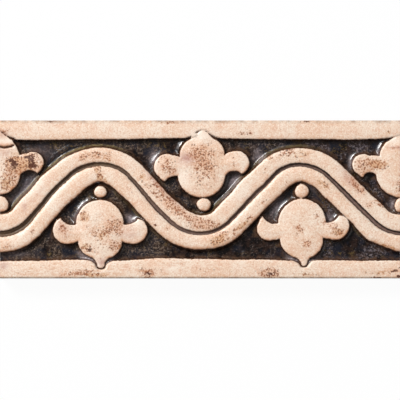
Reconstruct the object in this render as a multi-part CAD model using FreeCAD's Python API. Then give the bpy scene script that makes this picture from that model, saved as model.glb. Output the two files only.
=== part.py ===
"""Relief border tile: one pressed and fired piece with two rails, a waving double ribbon, blossoms and beads.

The tile lies on its back.  X runs along the border, Y across it and Z out of the decorated face.
The origin is the centre of the back.  All sizes are millimetres and all angles are degrees.
"""

import math
import os

import FreeCAD
import Part
from FreeCAD import Vector

# Tile body
WAVE_LENGTH = 76.2
WAVE_COUNT = 2
WIDTH = 60.0
BODY_THICKNESS = 8.0

# Rails along both long edges
RAIL_WIDTH = 6.7
RAIL_RISE = 3.5
RAIL_CROWN = 1.0
RAIL_FLARE = 0.8

# Waving ribbon: two rounded bands with a groove between them
WAVE_HEIGHT = 26.6
WAVE_SHIFT = 0.4
BEND_RADIUS = 15.2
BAND_WIDTH = 5.5
BAND_CROWN = 1.1
RIBBON_RISE = 3.5
RIBBON_FLARE = 0.9
GROOVE_WIDTH = 1.7
GROOVE_LIP = 0.8
GROOVE_DEPTH = 1.9

# Blossoms: a round head, two ears with a cusp, and a cup that ends in a tip on the rail
BLOSSOM_SETBACK = 23.0
BLOSSOM_RISE = 3.3
BLOSSOM_FLARE = 0.7
BLOSSOM_ROUND = 0.7
ROUND_FLATS = 2
HEAD_RADIUS = 9.1
NOTCH_ANGLE = 6.0
NOTCH_SAG = 1.5
EAR_RADIUS = 5.2
EAR_OUT = 12.6
EAR_DROP = 2.4
EAR_CUSP_ANGLE = 122.0
EAR_JOINT_ANGLE = 42.0
CUP_DEPTH = 12.9
CUP_BULGE = 1.5
LOWER_NECK_WIDTH = 6.4
LOWER_TIP_WIDTH = 2.4
LOWER_TIP_LENGTH = 3.4
UPPER_NECK_WIDTH = 8.4
UPPER_TIP_WIDTH = 2.8
UPPER_TIP_LENGTH = 3.0
TIP_ROUND = 0.7
OGEE_SAG = 0.35
MOAT_WIDTH = 1.0
MOAT_DEPTH = 1.6

# Beads between the blossoms and the ribbon
BEAD_RADIUS = 2.6
BEAD_RISE = 3.0
BEAD_CROWN = 1.1
BEAD_FLARE = 0.4
BEAD_OUT = 12.2

# Keying grooves pressed into the back
KEY_COUNT = 4
KEY_PITCH = 12.0
KEY_WIDTH = 4.0
KEY_DEPTH = 1.0
KEY_DRAFT = 0.6

# Relief solids start this far below the recess floor, so that they fuse with the body
ROOT = 1.0

LENGTH = WAVE_COUNT * WAVE_LENGTH


def line(start, end):
    """Straight edge between two points."""
    return Part.LineSegment(start, end).toShape()


def arc(start, middle, end):
    """Circular edge through three points."""
    return Part.Arc(start, middle, end).toShape()


def sagged(start, end, sag):
    """Circular edge that stands off its chord by sag, to the right of the way from start to end."""
    chord = end - start
    right = Vector(chord.y, -chord.x, 0).normalize()
    return arc(start, (start + end) / 2 + right * sag, end)


def polar(centre, radius, angle):
    """Point at a radius and an angle round a centre, in the plane of the tile."""
    turn = math.radians(angle)
    return centre + Vector(math.cos(turn), math.sin(turn), 0) * radius


def section(edges):
    """Face in the YZ plane at the tile's left end, from edges drawn in that plane."""
    face = Part.Face(Part.Wire(edges))
    face.translate(Vector(-LENGTH / 2, 0, 0))
    return face


def mirrored(points):
    """The same points on the other side of the XZ plane, in reverse order."""
    return [Vector(p.x, -p.y, p.z) for p in reversed(points)]


def tile_body():
    """Body with both rails: the section of the border, drawn out along its length."""
    crown = BODY_THICKNESS + RAIL_RISE
    shoulder = crown - RAIL_CROWN
    edge = WIDTH / 2
    lip = edge - RAIL_WIDTH
    rail = [Vector(0, edge, shoulder), Vector(0, (edge + lip) / 2, crown), Vector(0, lip, shoulder)]
    foot = Vector(0, lip - RAIL_FLARE, BODY_THICKNESS)
    far_rail = mirrored(rail)
    far_foot = mirrored([foot])[0]
    back = [Vector(0, -edge, 0), Vector(0, edge, 0)]
    edges = [
        line(back[0], back[1]),
        line(back[1], rail[0]),
        arc(*rail),
        line(rail[2], foot),
        line(foot, far_foot),
        line(far_foot, far_rail[0]),
        arc(*far_rail),
        line(far_rail[2], back[0]),
    ]
    return section(edges).extrude(Vector(LENGTH, 0, 0))


def keying_groove(across):
    """Tapered groove along the back, to be cut away at a distance from the middle line."""
    mouth = KEY_WIDTH / 2
    root = mouth - KEY_DRAFT
    corners = [
        Vector(0, across - mouth, 0),
        Vector(0, across + mouth, 0),
        Vector(0, across + root, KEY_DEPTH),
        Vector(0, across - root, KEY_DEPTH),
    ]
    edges = [line(corners[i - 1], corners[i]) for i in range(len(corners))]
    return section(edges).extrude(Vector(LENGTH, 0, 0))


def flank_angle():
    """Slope of the straight flanks that run tangent from one bend of the wave to the next."""
    half_wave = WAVE_LENGTH / 2
    spare = 2 * BEND_RADIUS - WAVE_HEIGHT
    return math.asin(2 * BEND_RADIUS / math.hypot(half_wave, spare)) - math.atan2(spare, half_wave)


def ribbon_path():
    """Middle line of the ribbon on the recess floor: bends joined by straight flanks, trough to trough."""
    slope = flank_angle()
    half_wave = WAVE_LENGTH / 2
    edges = []
    for step in range(2 * WAVE_COUNT):
        up = 1 if step % 2 == 0 else -1
        start = Vector(step * half_wave - LENGTH / 2, WAVE_SHIFT - up * WAVE_HEIGHT / 2, BODY_THICKNESS)
        end = start + Vector(half_wave, up * WAVE_HEIGHT, 0)
        turns = [
            Vector(BEND_RADIUS * math.sin(turn), up * BEND_RADIUS * (1 - math.cos(turn)), 0)
            for turn in (0, slope / 2, slope)
        ]
        rising = [start + turn for turn in turns]
        levelling = [end - turn for turn in reversed(turns)]
        edges += [arc(*rising), line(rising[2], levelling[0]), arc(*levelling)]
    return Part.Wire(edges)


def ribbon():
    """Two rounded bands with a groove between them, swept along the wave."""
    lip = GROOVE_WIDTH / 2
    side = lip + BAND_WIDTH
    band = [
        Vector(0, side, RIBBON_RISE - BAND_CROWN),
        Vector(0, (side + lip) / 2, RIBBON_RISE),
        Vector(0, lip, RIBBON_RISE - GROOVE_LIP),
    ]
    root = Vector(0, side + RIBBON_FLARE, -ROOT)
    foot = Vector(0, side + RIBBON_FLARE, 0)
    groove = Vector(0, 0, RIBBON_RISE - GROOVE_DEPTH)
    far_band = mirrored(band)
    far_foot, far_root = mirrored([root, foot])
    edges = [
        line(far_root, root),
        line(root, foot),
        line(foot, band[0]),
        arc(*band),
        line(band[2], groove),
        line(groove, far_band[0]),
        arc(*far_band),
        line(far_band[2], far_foot),
        line(far_foot, far_root),
    ]
    profile = Part.Wire(edges)
    path = ribbon_path()
    profile.translate(path.Edges[0].Vertexes[0].Point)
    return path.makePipeShell([profile], True, False)


def blossom_outline(neck_width, tip_width, tip_length, grow, height):
    """Outline of a blossom that points its tip along -Y, grown outwards by an amount and raised to a height."""
    head = HEAD_RADIUS + grow
    ear = EAR_RADIUS + grow
    slant = grow / math.sqrt(2)
    tip_end = CUP_DEPTH + tip_length + grow
    ear_centre = Vector(EAR_OUT, -EAR_DROP, 0)
    cusp_angle = 180 - EAR_CUSP_ANGLE
    joint_angle = EAR_JOINT_ANGLE - 180
    tip = Vector(0, -tip_end, 0)
    tip_side = Vector(tip_width / 2 + grow, TIP_ROUND - tip_end, 0)
    neck = Vector(neck_width / 2 + slant, -CUP_DEPTH - slant, 0)
    joint = polar(ear_centre, ear, joint_angle)
    ear_far = polar(ear_centre, ear, (joint_angle + cusp_angle) / 2)
    cusp = polar(ear_centre, ear, cusp_angle)
    notch_end = polar(Vector(), head, NOTCH_ANGLE)
    half = [
        sagged(tip_side, neck, -OGEE_SAG),
        sagged(neck, joint, CUP_BULGE),
        arc(joint, ear_far, cusp),
        sagged(cusp, notch_end, -NOTCH_SAG),
    ]
    across = Vector(1, 0, 0)
    other = [edge.mirror(Vector(), across) for edge in reversed(half)]
    top = arc(notch_end, Vector(0, head, 0), Vector(-notch_end.x, notch_end.y, 0))
    end = arc(Vector(-tip_side.x, tip_side.y, 0), tip, tip_side)
    outline = Part.Wire([end, *half, top, *other])
    outline.translate(Vector(0, 0, height))
    return outline


def blossom(tip_sizes):
    """Blossom on the recess floor, with drafted sides and a top edge that is rounded off in flats."""
    crown = BODY_THICKNESS + BLOSSOM_RISE
    outlines = [
        blossom_outline(*tip_sizes, BLOSSOM_FLARE, BODY_THICKNESS - ROOT),
        blossom_outline(*tip_sizes, BLOSSOM_FLARE, BODY_THICKNESS),
    ]
    for flat in range(ROUND_FLATS + 1):
        turn = math.pi / 2 * flat / ROUND_FLATS
        inset = BLOSSOM_ROUND * (1 - math.cos(turn))
        drop = BLOSSOM_ROUND * (1 - math.sin(turn))
        outlines.append(blossom_outline(*tip_sizes, -inset, crown - drop))
    return Part.makeLoft(outlines, True, True)


def moat(tip_sizes):
    """Pocket round a blossom, which lets its tip into the rail."""
    floor = BODY_THICKNESS + RAIL_RISE - MOAT_DEPTH
    outline = blossom_outline(*tip_sizes, MOAT_WIDTH, floor)
    return Part.Face(outline).extrude(Vector(0, 0, 2 * MOAT_DEPTH))


def bead():
    """Round bead with a domed top, beside the head of a blossom."""
    dome_radius = (BEAD_RADIUS**2 + BEAD_CROWN**2) / (2 * BEAD_CROWN)
    half_turn = math.asin(BEAD_RADIUS / dome_radius) / 2
    crown = Vector(0, 0, BEAD_RISE)
    dome = crown + Vector(0, math.sin(half_turn), math.cos(half_turn) - 1) * dome_radius
    shoulder = Vector(0, BEAD_RADIUS, BEAD_RISE - BEAD_CROWN)
    foot = Vector(0, BEAD_RADIUS + BEAD_FLARE, -ROOT)
    root = Vector(0, 0, -ROOT)
    edges = [line(root, foot), line(foot, shoulder), arc(shoulder, dome, crown), line(crown, root)]
    solid = Part.Face(Part.Wire(edges)).revolve(Vector(), Vector(0, 0, 1), 360)
    solid.translate(Vector(0, BEAD_OUT, BODY_THICKNESS))
    return solid


def placed(shape, step):
    """Copy of a blossom's shape at one bend of the wave: head towards the ribbon, tip towards the rail."""
    over_trough = step % 2 == 0
    facing = 1 if over_trough else -1
    along = step * WAVE_LENGTH / 2 - LENGTH / 2
    bend = WAVE_SHIFT - facing * WAVE_HEIGHT / 2
    turn = FreeCAD.Rotation(Vector(0, 0, 1), 180 if over_trough else 0)
    place = FreeCAD.Placement(Vector(along, bend + facing * BLOSSOM_SETBACK, 0), turn)
    copy = shape.copy()
    copy.Placement = place.multiply(shape.Placement)
    return copy


def border_tile():
    """The whole tile as one solid."""
    upper = (UPPER_NECK_WIDTH, UPPER_TIP_WIDTH, UPPER_TIP_LENGTH)
    lower = (LOWER_NECK_WIDTH, LOWER_TIP_WIDTH, LOWER_TIP_LENGTH)
    bends = range(2 * WAVE_COUNT + 1)
    tips = [upper if step % 2 == 0 else lower for step in bends]
    keys = [keying_groove((i - (KEY_COUNT - 1) / 2) * KEY_PITCH) for i in range(KEY_COUNT)]
    moats = [placed(moat(tips[step]), step) for step in bends]
    blossoms = [placed(blossom(tips[step]), step) for step in bends]
    beads = [placed(bead(), step) for step in bends]
    body = tile_body().cut(keys + moats)
    tile = body.fuse([ribbon(), *blossoms, *beads])
    envelope = Part.makeBox(LENGTH, WIDTH, 2 * BODY_THICKNESS, Vector(-LENGTH / 2, -WIDTH / 2, 0))
    return tile.common(envelope).removeSplitter()


os.makedirs("parts", exist_ok=True)
border_tile().exportStep("parts/border_tile.step")
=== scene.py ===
"""Relief border tile: its fired skin, its glazes, and the plain studio that it lies in.

The tile lies on its back.  X runs along the border, Y across it and Z out of the decorated face.
Sizes are millimetres in the tile's classes, and metres in the finished mesh and in the studio.
"""

import logging
import math
from dataclasses import dataclass, field
from enum import Enum
from typing import Any, Sequence, Union

import bmesh
import bpy
import numpy as np
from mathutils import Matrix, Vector


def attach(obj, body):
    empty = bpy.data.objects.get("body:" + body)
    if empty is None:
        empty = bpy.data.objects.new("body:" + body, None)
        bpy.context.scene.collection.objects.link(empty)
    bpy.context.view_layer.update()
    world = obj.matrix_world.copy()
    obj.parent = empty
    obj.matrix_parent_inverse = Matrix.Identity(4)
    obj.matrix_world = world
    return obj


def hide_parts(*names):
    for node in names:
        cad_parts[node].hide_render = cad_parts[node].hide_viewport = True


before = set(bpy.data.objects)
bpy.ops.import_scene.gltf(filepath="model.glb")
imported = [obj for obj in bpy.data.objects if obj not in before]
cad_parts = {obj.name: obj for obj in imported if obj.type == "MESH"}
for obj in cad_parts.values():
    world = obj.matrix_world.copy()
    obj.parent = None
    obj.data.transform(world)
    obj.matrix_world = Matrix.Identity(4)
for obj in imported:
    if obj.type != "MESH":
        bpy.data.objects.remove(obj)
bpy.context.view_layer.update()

LOG = logging.getLogger("border_tile")
MM = 0.001
Number = Union[float, "Wire"]
Tint = Union[str, "Wire"]
Key = Union[int, str]
Settings = dict[str, Any]
Inputs = dict[Key, Any]
Point = tuple[float, float]
Point3 = tuple[float, float, float]
TOUCHING = 1e-4
WHITE = (1.0, 1.0, 1.0, 1.0)


def light(code: str) -> tuple[float, float, float, float]:
    """A colour that is written as it looks, as the light that it stands for."""
    parts = [int(code[i : i + 2], 16) / 255 for i in (0, 2, 4)]
    return (*(p / 12.92 if p < 0.04045 else ((p + 0.055) / 1.055) ** 2.4 for p in parts), 1.0)


def emptied(owner: Union[bpy.types.Material, bpy.types.World]) -> bpy.types.NodeTree:
    """Give a material or a world an empty node tree.

    Args:
        owner: The material or the world.

    Returns:
        Its tree.
    """
    owner.use_nodes = True
    owner.node_tree.nodes.clear()
    return owner.node_tree


class Wire:
    """One socket of a node tree, so that sums on it are written as Python expressions."""

    def __init__(self, bench: "Bench", socket: bpy.types.NodeSocket) -> None:
        """Keep the socket and the bench that adds nodes to its tree."""
        self.bench = bench
        self.socket = socket

    def __add__(self, other: Number) -> "Wire":
        """Sum of two values."""
        return self.bench.math("ADD", self, other)

    def __sub__(self, other: Number) -> "Wire":
        """Difference of two values."""
        return self.bench.math("SUBTRACT", self, other)

    def __rsub__(self, other: Number) -> "Wire":
        """Difference, with this value taken away."""
        return self.bench.math("SUBTRACT", other, self)

    def __mul__(self, other: Number) -> "Wire":
        """Product of two values."""
        return self.bench.math("MULTIPLY", self, other)

    def __truediv__(self, other: Number) -> "Wire":
        """Quotient of two values."""
        return self.bench.math("DIVIDE", self, other)

    def __neg__(self) -> "Wire":
        """The value with its sign turned."""
        return self.bench.math("MULTIPLY", self, -1.0)

    def __abs__(self) -> "Wire":
        """Size of the value without its sign."""
        return self.bench.math("ABSOLUTE", self)

    __radd__ = __add__
    __rmul__ = __mul__


class Bench:
    """A node tree at work: adds nodes, sets them and links them."""

    def __init__(self, tree: bpy.types.NodeTree) -> None:
        """Keep the tree that nodes are added to."""
        self.tree = tree

    @staticmethod
    def pick(sockets: Any, key: Key) -> bpy.types.NodeSocket:
        """Find a socket of a node.

        Args:
            sockets: The node's inputs or outputs.
            key: A place in the list, a socket's identifier or its name.

        Returns:
            The socket.
        """
        if isinstance(key, int):
            return sockets[key]
        for socket in sockets:
            if socket.identifier == key:
                return socket
        return next(socket for socket in sockets if socket.name == key and socket.enabled)

    def add(self, kind: str, settings: Settings, inputs: Inputs) -> bpy.types.Node:
        """Add a node.

        Args:
            kind: The node's type.
            settings: Properties of the node, set before its sockets.
            inputs: Values or wires for the node's sockets, by identifier, name or place.

        Returns:
            The new node.
        """
        node = self.tree.nodes.new(kind)
        for name, value in settings.items():
            setattr(node, name, value)
        for key, value in inputs.items():
            socket = self.pick(node.inputs, key)
            if isinstance(value, Wire):
                self.tree.links.new(value.socket, socket)
            else:
                socket.default_value = value
        return node

    def wire(self, kind: str, settings: Settings, inputs: Inputs, output: Key = 0) -> Wire:
        """Add a node and give one of its outputs, ready for expressions."""
        return Wire(self, self.pick(self.add(kind, settings, inputs).outputs, output))

    def math(self, operation: str, *values: Number) -> Wire:
        """One Math node on values."""
        return self.wire("ShaderNodeMath", {"operation": operation}, dict(enumerate(values)))

    def vector(self, operation: str, *values: Any, output: str = "Vector") -> Wire:
        """One Vector Math node on vectors."""
        return self.wire("ShaderNodeVectorMath", {"operation": operation}, dict(enumerate(values)), output)

    def scaled(self, vector: Any, scale: Number) -> Wire:
        """A vector times a value."""
        return self.wire("ShaderNodeVectorMath", {"operation": "SCALE"}, {"Vector": vector, "Scale": scale})

    def axis(self, place: Wire, name: str) -> Wire:
        """One coordinate of a place."""
        return self.wire("ShaderNodeSeparateXYZ", {}, {"Vector": place}, name)

    def least(self, value: Number, other: Number) -> Wire:
        """The smaller of two values."""
        return self.math("MINIMUM", value, other)

    def most(self, value: Number, other: Number) -> Wire:
        """The larger of two values."""
        return self.math("MAXIMUM", value, other)

    def ramp(self, value: Wire, low: Number, high: Number) -> Wire:
        """Rise from 0 to 1 with soft ends while a value goes from low to high."""
        settings = {"interpolation_type": "SMOOTHSTEP"}
        return self.wire("ShaderNodeMapRange", settings, {"Value": value, "From Min": low, "From Max": high})

    def blend(self, factor: Number, start: Tint, end: Tint) -> Wire:
        """Mix two colours.

        Args:
            factor: Share of the second colour.
            start: First colour, as a wire or a code.
            end: Second colour.

        Returns:
            The mixed colour.
        """
        settings = {"data_type": "RGBA", "clamp_factor": True}
        first, second = (light(tint) if isinstance(tint, str) else tint for tint in (start, end))
        inputs = {"Factor_Float": factor, "A_Color": first, "B_Color": second}
        return self.wire("ShaderNodeMix", settings, inputs, "Result_Color")

    def noise(
        self, place: Wire, pitch: float, detail: float = 2.0, rough: float = 0.5, output: str = "Fac"
    ) -> Wire:
        """Cloudy noise, about 0.5 on average, with lumps about a pitch apart in the place's own units."""
        inputs = {"Vector": place, "Scale": 1.0 / pitch, "Detail": detail, "Roughness": rough}
        return self.wire("ShaderNodeTexNoise", {"noise_dimensions": "3D"}, inputs, output)


class ReliefTree(Bench):
    """Geometry node tree with named inputs for its main sizes."""

    def __init__(self, name: str) -> None:
        """Start an empty tree that takes and gives geometry.

        Args:
            name: The tree's name.
        """
        super().__init__(bpy.data.node_groups.new(name, "GeometryNodeTree"))
        self.settings: Settings = {}
        for way in ("INPUT", "OUTPUT"):
            self.tree.interface.new_socket(name="Geometry", in_out=way, socket_type="NodeSocketGeometry")
        self.source = self.tree.nodes.new("NodeGroupInput")

    def given(self, name: str, value: Any, kind: str = "NodeSocketFloat") -> Wire:
        """Add a named input.

        Args:
            name: The input's name in the tree.
            value: What the modifier sets it to.
            kind: The input's socket type.

        Returns:
            The input, ready for expressions.
        """
        socket = self.tree.interface.new_socket(name=name, in_out="INPUT", socket_type=kind)
        self.settings[socket.identifier] = value
        return Wire(self, self.pick(self.source.outputs, socket.identifier))

    def drawing(self, name: str, thing: bpy.types.Object) -> Wire:
        """Add a named input for an object, and give the object's geometry."""
        drawn = self.given(name, thing, "NodeSocketObject")
        return self.wire("GeometryNodeObjectInfo", {}, {"Object": drawn}, "Geometry")

    def layer(self, name: str, kind: str = "FLOAT") -> Wire:
        """A value that the points carry."""
        return self.wire("GeometryNodeInputNamedAttribute", {"data_type": kind}, {"Name": name})

    def keep(self, shape: Wire, name: str, value: Wire) -> Wire:
        """The shape with a value written onto its points."""
        kept = {"Geometry": shape, "Name": name, "Value": value}
        return self.wire("GeometryNodeStoreNamedAttribute", {}, kept)

    def away(self, shape: Wire, place: Wire, part: str = "EDGES") -> Wire:
        """Distance from a place to the nearest edge or face of a shape."""
        near = {"Target": shape, "Source Position": place}
        return self.wire("GeometryNodeProximity", {"target_element": part}, near, "Distance")

    def geometry(self) -> Wire:
        """The geometry that the tree is given."""
        return Wire(self, self.source.outputs["Geometry"])

    def finish(self, shape: Wire) -> None:
        """Lead a geometry to the tree's output."""
        self.add("NodeGroupOutput", {}, {"Geometry": shape})

    def run(self, seed: bpy.types.Object) -> bpy.types.Mesh:
        """Run the tree on an object.

        Args:
            seed: Object whose mesh the tree starts from.

        Returns:
            The result as a plain mesh.
        """
        modifier = seed.modifiers.new(self.tree.name, "NODES")
        modifier.node_group = self.tree
        for identifier, value in self.settings.items():
            modifier[identifier] = value
        graph = bpy.context.evaluated_depsgraph_get()
        mesh = bpy.data.meshes.new_from_object(seed.evaluated_get(graph))
        seed.modifiers.remove(modifier)
        return mesh


class Outline(Enum):
    """The outlines that are pressed into the recess."""

    LEFT_END = 0
    LEFT = 1
    CENTRE = 2
    RIGHT = 3
    RIGHT_END = 4
    BEAD = 5


class Tone(Enum):
    """Clouds in the glaze, each an attribute of the skin: iron specks, pale wiped places with painted
    highlights and sheen among them, and a milky film whose colour is painted sheen.
    """

    RUST = "rust"
    OCHRE = "ochre"
    UMBER = "umber"
    BLUSH = "blush"
    PALE = "pale"
    HAZE = "haze"


@dataclass(frozen=True)
class Spot:
    """One outlined piece of relief in its place, with a stretch below 0 where it is turned over."""

    outline: Outline
    along: float
    across: float
    stretch: Point = (1.0, 1.0)


@dataclass(frozen=True)
class Nudge:
    """A place where the soft clay was pushed aside: how far, and how wide the push was."""

    along: float
    across: float
    reach: Point
    push: Point


@dataclass(frozen=True)
class Swell:
    """A stretch of the border where a width is larger: where it is, how long, and by how much."""

    along: float
    reach: float
    extra: float


@dataclass(frozen=True)
class Crease:
    """A bowed line that was pressed into a blossom."""

    start: Point
    middle: Point
    end: Point


@dataclass(frozen=True)
class Stain:
    """A cloud in the glaze, longer one way than the other."""

    along: float
    across: float
    length: float
    width: float
    strength: float
    turn: float = 0.0

    def spread(self, places: np.ndarray) -> np.ndarray:
        """Strength of the cloud at places on the face.

        Args:
            places: Points as rows of X and Y.

        Returns:
            One value for each place, falling softly from the middle.
        """
        angle = math.radians(self.turn)
        offset = places - np.array((self.along, self.across))
        run = (offset[:, 0] * math.cos(angle) + offset[:, 1] * math.sin(angle)) / self.length
        side = (offset[:, 1] * math.cos(angle) - offset[:, 0] * math.sin(angle)) / self.width
        return self.strength * np.exp(-(run**2 + side**2))


@dataclass
class Motif:
    """Relief of one kind: its height above the recess, and how far inside its rim a point lies."""

    height: Wire
    rim: Wire


def arc_through(start: Vector, middle: Vector, end: Vector, step: float) -> list[Vector]:
    """Points along the circle through three points.

    Args:
        start: First point of the arc.
        middle: A point on the way.
        end: Last point, which the result leaves out.
        step: Longest distance between two points.

    Returns:
        The points from start on.
    """
    a, b = middle - start, end - start
    double_area = 2 * (a.x * b.y - a.y * b.x)
    centre_x = b.y * a.length_squared - a.y * b.length_squared
    centre_y = a.x * b.length_squared - b.x * a.length_squared
    centre = start + Vector((centre_x, centre_y)) / double_area
    radius = (start - centre).length
    first = math.atan2(start.y - centre.y, start.x - centre.x)
    last = math.atan2(end.y - centre.y, end.x - centre.x)
    sweep = (last - first) % math.tau
    if double_area < 0:
        sweep -= math.tau
    count = max(2, math.ceil(abs(sweep) * radius / step))
    turns = [first + sweep * i / count for i in range(count)]
    return [centre + radius * Vector((math.cos(turn), math.sin(turn))) for turn in turns]


def bowed(start: Vector, end: Vector, sag: float, step: float) -> list[Vector]:
    """Points along an arc that stands off its chord.

    Args:
        start: First point of the arc.
        end: Last point, which the result leaves out.
        sag: How far the arc stands off, to the right of the way from start to end.
        step: Longest distance between two points.

    Returns:
        The points from start on.
    """
    chord = end - start
    if sag == 0:
        count = max(1, math.ceil(chord.length / step))
        return [start + chord * (i / count) for i in range(count)]
    right = Vector((chord.y, -chord.x)).normalized()
    return arc_through(start, (start + end) / 2 + right * sag, end, step)


def polar(centre: Vector, radius: float, angle: float) -> Vector:
    """Point at a radius and an angle in degrees round a centre."""
    turn = math.radians(angle)
    return centre + radius * Vector((math.cos(turn), math.sin(turn)))


def linked(name: str, data: bpy.types.ID) -> bpy.types.Object:
    """Put data into the scene as an object.

    Args:
        name: The object's name.
        data: What the object shows.

    Returns:
        The object.
    """
    thing = bpy.data.objects.new(name, data)
    bpy.context.scene.collection.objects.link(thing)
    return thing


@dataclass(frozen=True)
class Ear:
    """One ear of a blossom: a round lobe with a cusp towards the head and a joint towards the tip."""

    out: float = 12.6
    drop: float = 2.4
    radius: float = 5.2
    cusp_angle: float = 58.0
    cusp_reach: float = 1.0
    joint_angle: float = 42.0
    joint_reach: float = 1.0
    notch_sag: float = 1.5


@dataclass(frozen=True)
class BlossomShape:
    """Outline of a blossom: a round head, two ears with a cusp, and a cup that ends in a tip."""

    left: Ear = Ear()
    right: Ear = Ear()
    head_radius: float = 9.1
    notch_angle: float = 6.0
    lobe_lead: float = 28.0
    lobe_sag: float = 0.2
    cup_depth: float = 12.9
    cup_bulge: float = 1.5
    neck_width: float = 7.0
    tip_width: float = 2.4
    tip_length: float = 3.4
    tip_round: float = 0.7
    tip_shoulder: float = 0.75
    tip_shift: float = 0.0
    ogee_sag: float = 0.35
    step: float = 0.25

    def half(self, ear: Ear, shift: float) -> list[Vector]:
        """The right half of the outline.

        Args:
            ear: The ear on that side.
            shift: How far the tip lies towards that side.

        Returns:
            Points from the tip up to the top of the head, which is left out.
        """
        middle = Vector((0, 0))
        lobe = Vector((ear.out, -ear.drop))
        inward = ear.joint_angle - 180
        first, last = inward + self.lobe_lead, ear.cusp_angle - self.lobe_lead
        tip_end = self.cup_depth + self.tip_length
        tip = Vector((shift, -tip_end))
        tip_side = Vector((shift + self.tip_width / 2, self.tip_round - tip_end))
        shoulder = self.tip_width / 2 * self.tip_shoulder
        tip_turn = Vector((shift + shoulder, self.tip_round / 3 - tip_end))
        neck = Vector((shift / 2 + self.neck_width / 2, -self.cup_depth))
        joint = polar(lobe, ear.radius * ear.joint_reach, inward)
        cusp = polar(lobe, ear.radius * ear.cusp_reach, ear.cusp_angle)
        round_start, round_end = polar(lobe, ear.radius, first), polar(lobe, ear.radius, last)
        notch = polar(middle, self.head_radius, self.notch_angle)
        head_turn = polar(middle, self.head_radius, (self.notch_angle + 90) / 2)
        return [
            *arc_through(tip, tip_turn, tip_side, self.step),
            *bowed(tip_side, neck, -self.ogee_sag, self.step),
            *bowed(neck, joint, self.cup_bulge, self.step),
            *bowed(joint, round_start, self.lobe_sag, self.step),
            *arc_through(round_start, polar(lobe, ear.radius, (first + last) / 2), round_end, self.step),
            *bowed(round_end, cusp, self.lobe_sag, self.step),
            *bowed(cusp, notch, -ear.notch_sag, self.step),
            *arc_through(notch, head_turn, Vector((0, self.head_radius)), self.step),
        ]

    def points(self) -> list[Vector]:
        """The outline as a closed row of points, with the tip along -Y."""
        left = [Vector((-p.x, p.y)) for p in self.half(self.left, -self.tip_shift)]
        return self.half(self.right, self.tip_shift) + [Vector((0, self.head_radius))] + left[:0:-1]


@dataclass(frozen=True)
class BeadShape:
    """Outline of a bead."""

    radius: float = 2.8
    corners: int = 48

    def points(self) -> list[Vector]:
        """The outline as a closed row of points."""
        return [polar(Vector((0, 0)), self.radius, 360 * i / self.corners) for i in range(self.corners)]


def outline_object(name: str, points: Sequence[Vector]) -> bpy.types.Object:
    """A closed flat curve through points.

    Args:
        name: The curve's name.
        points: Its corners in order.

    Returns:
        The curve as an object that a tree can read.
    """
    data = bpy.data.curves.new(name, "CURVE")
    spline = data.splines.new("POLY")
    spline.points.add(len(points) - 1)
    for corner, point in zip(spline.points, points):
        corner.co = (point.x, point.y, 0, 1)
    spline.use_cyclic_u = True
    return linked(name, data)


def path_object(name: str, paths: Sequence[Sequence[Vector]]) -> bpy.types.Object:
    """Open rows of edges through points.

    Args:
        name: The object's name.
        paths: One row of points for each line.

    Returns:
        The lines as one object that a tree can read.
    """
    points: list[Point3] = []
    edges: list[tuple[int, int]] = []
    for path in paths:
        edges += [(len(points) + i, len(points) + i + 1) for i in range(len(path) - 1)]
        points += [(p.x, p.y, 0) for p in path]
    data = bpy.data.meshes.new(name)
    data.from_pydata(points, edges, [])
    return linked(name, data)


@dataclass(frozen=True)
class Wall:
    """The side of a piece of relief: a rounded edge, a steep wall and the glaze pooled at its foot."""

    run: float = 0.5
    pool_height: float = 0.85
    pool_radius: float = 1.2
    edge_round: float = 0.16
    edge_reach: float = 0.6

    def raised(self, tree: ReliefTree, top: Wire, edge_height: float, rim: Wire) -> Wire:
        """Bring a piece of relief down to the recess outside its rim.

        Args:
            tree: The tree that nodes go into.
            top: Height of the piece's top.
            edge_height: Height of the top at the rim.
            rim: How far inside the rim a point lies.

        Returns:
            Height of the piece with its wall.
        """
        pool_reach = self.run + math.sqrt(2 * self.pool_radius * self.pool_height)
        worn = 1 - tree.ramp(rim, 0.0, self.edge_reach)
        rounded = top - worn * worn * self.edge_round
        edge = edge_height - self.edge_round
        steep = edge + rim * ((edge - self.pool_height) / self.run)
        foot = tree.most(rim + pool_reach, 0.0)
        pool = foot * foot * (0.5 / self.pool_radius)
        return tree.least(rounded, tree.most(steep, pool))


@dataclass
class Rails:
    """The convex rails along both long edges."""

    half_width: float = 30.0
    width: float = 6.7
    rise: float = 3.42
    crown: float = 0.2
    edge_drop: float = 0.45
    edge_reach: float = 0.8
    wall: Wall = Wall(run=0.5, pool_height=0.5, pool_radius=0.8)

    def relief(self, tree: ReliefTree, across: Wire, true_across: Wire, clear: Wire) -> Motif:
        """Height and rim of the rails.

        Args:
            tree: The tree that nodes go into.
            across: Distance from the middle line, wavering as a hand-finished edge does.
            true_across: Distance from the middle line as it is.
            clear: How far a point lies outside the pockets that let the blossoms' tips in.

        Returns:
            The rails as a motif.
        """
        half = tree.given("Half width", self.half_width)
        width = tree.given("Rail width", self.width)
        crown = tree.given("Rail crown", self.crown)
        inside = across - (half - width)
        share = (across - (half - width / 2)) / (width / 2)
        edge = 1 - tree.ramp(half - true_across, 0, tree.given("Rail edge reach", self.edge_reach))
        top = tree.given("Rail rise", self.rise) - crown * share * share
        top = top - edge * edge * tree.given("Rail edge drop", self.edge_drop)
        height = self.wall.raised(tree, top, self.rise - self.crown, inside)
        return Motif(height, tree.least(inside, clear))


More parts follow.
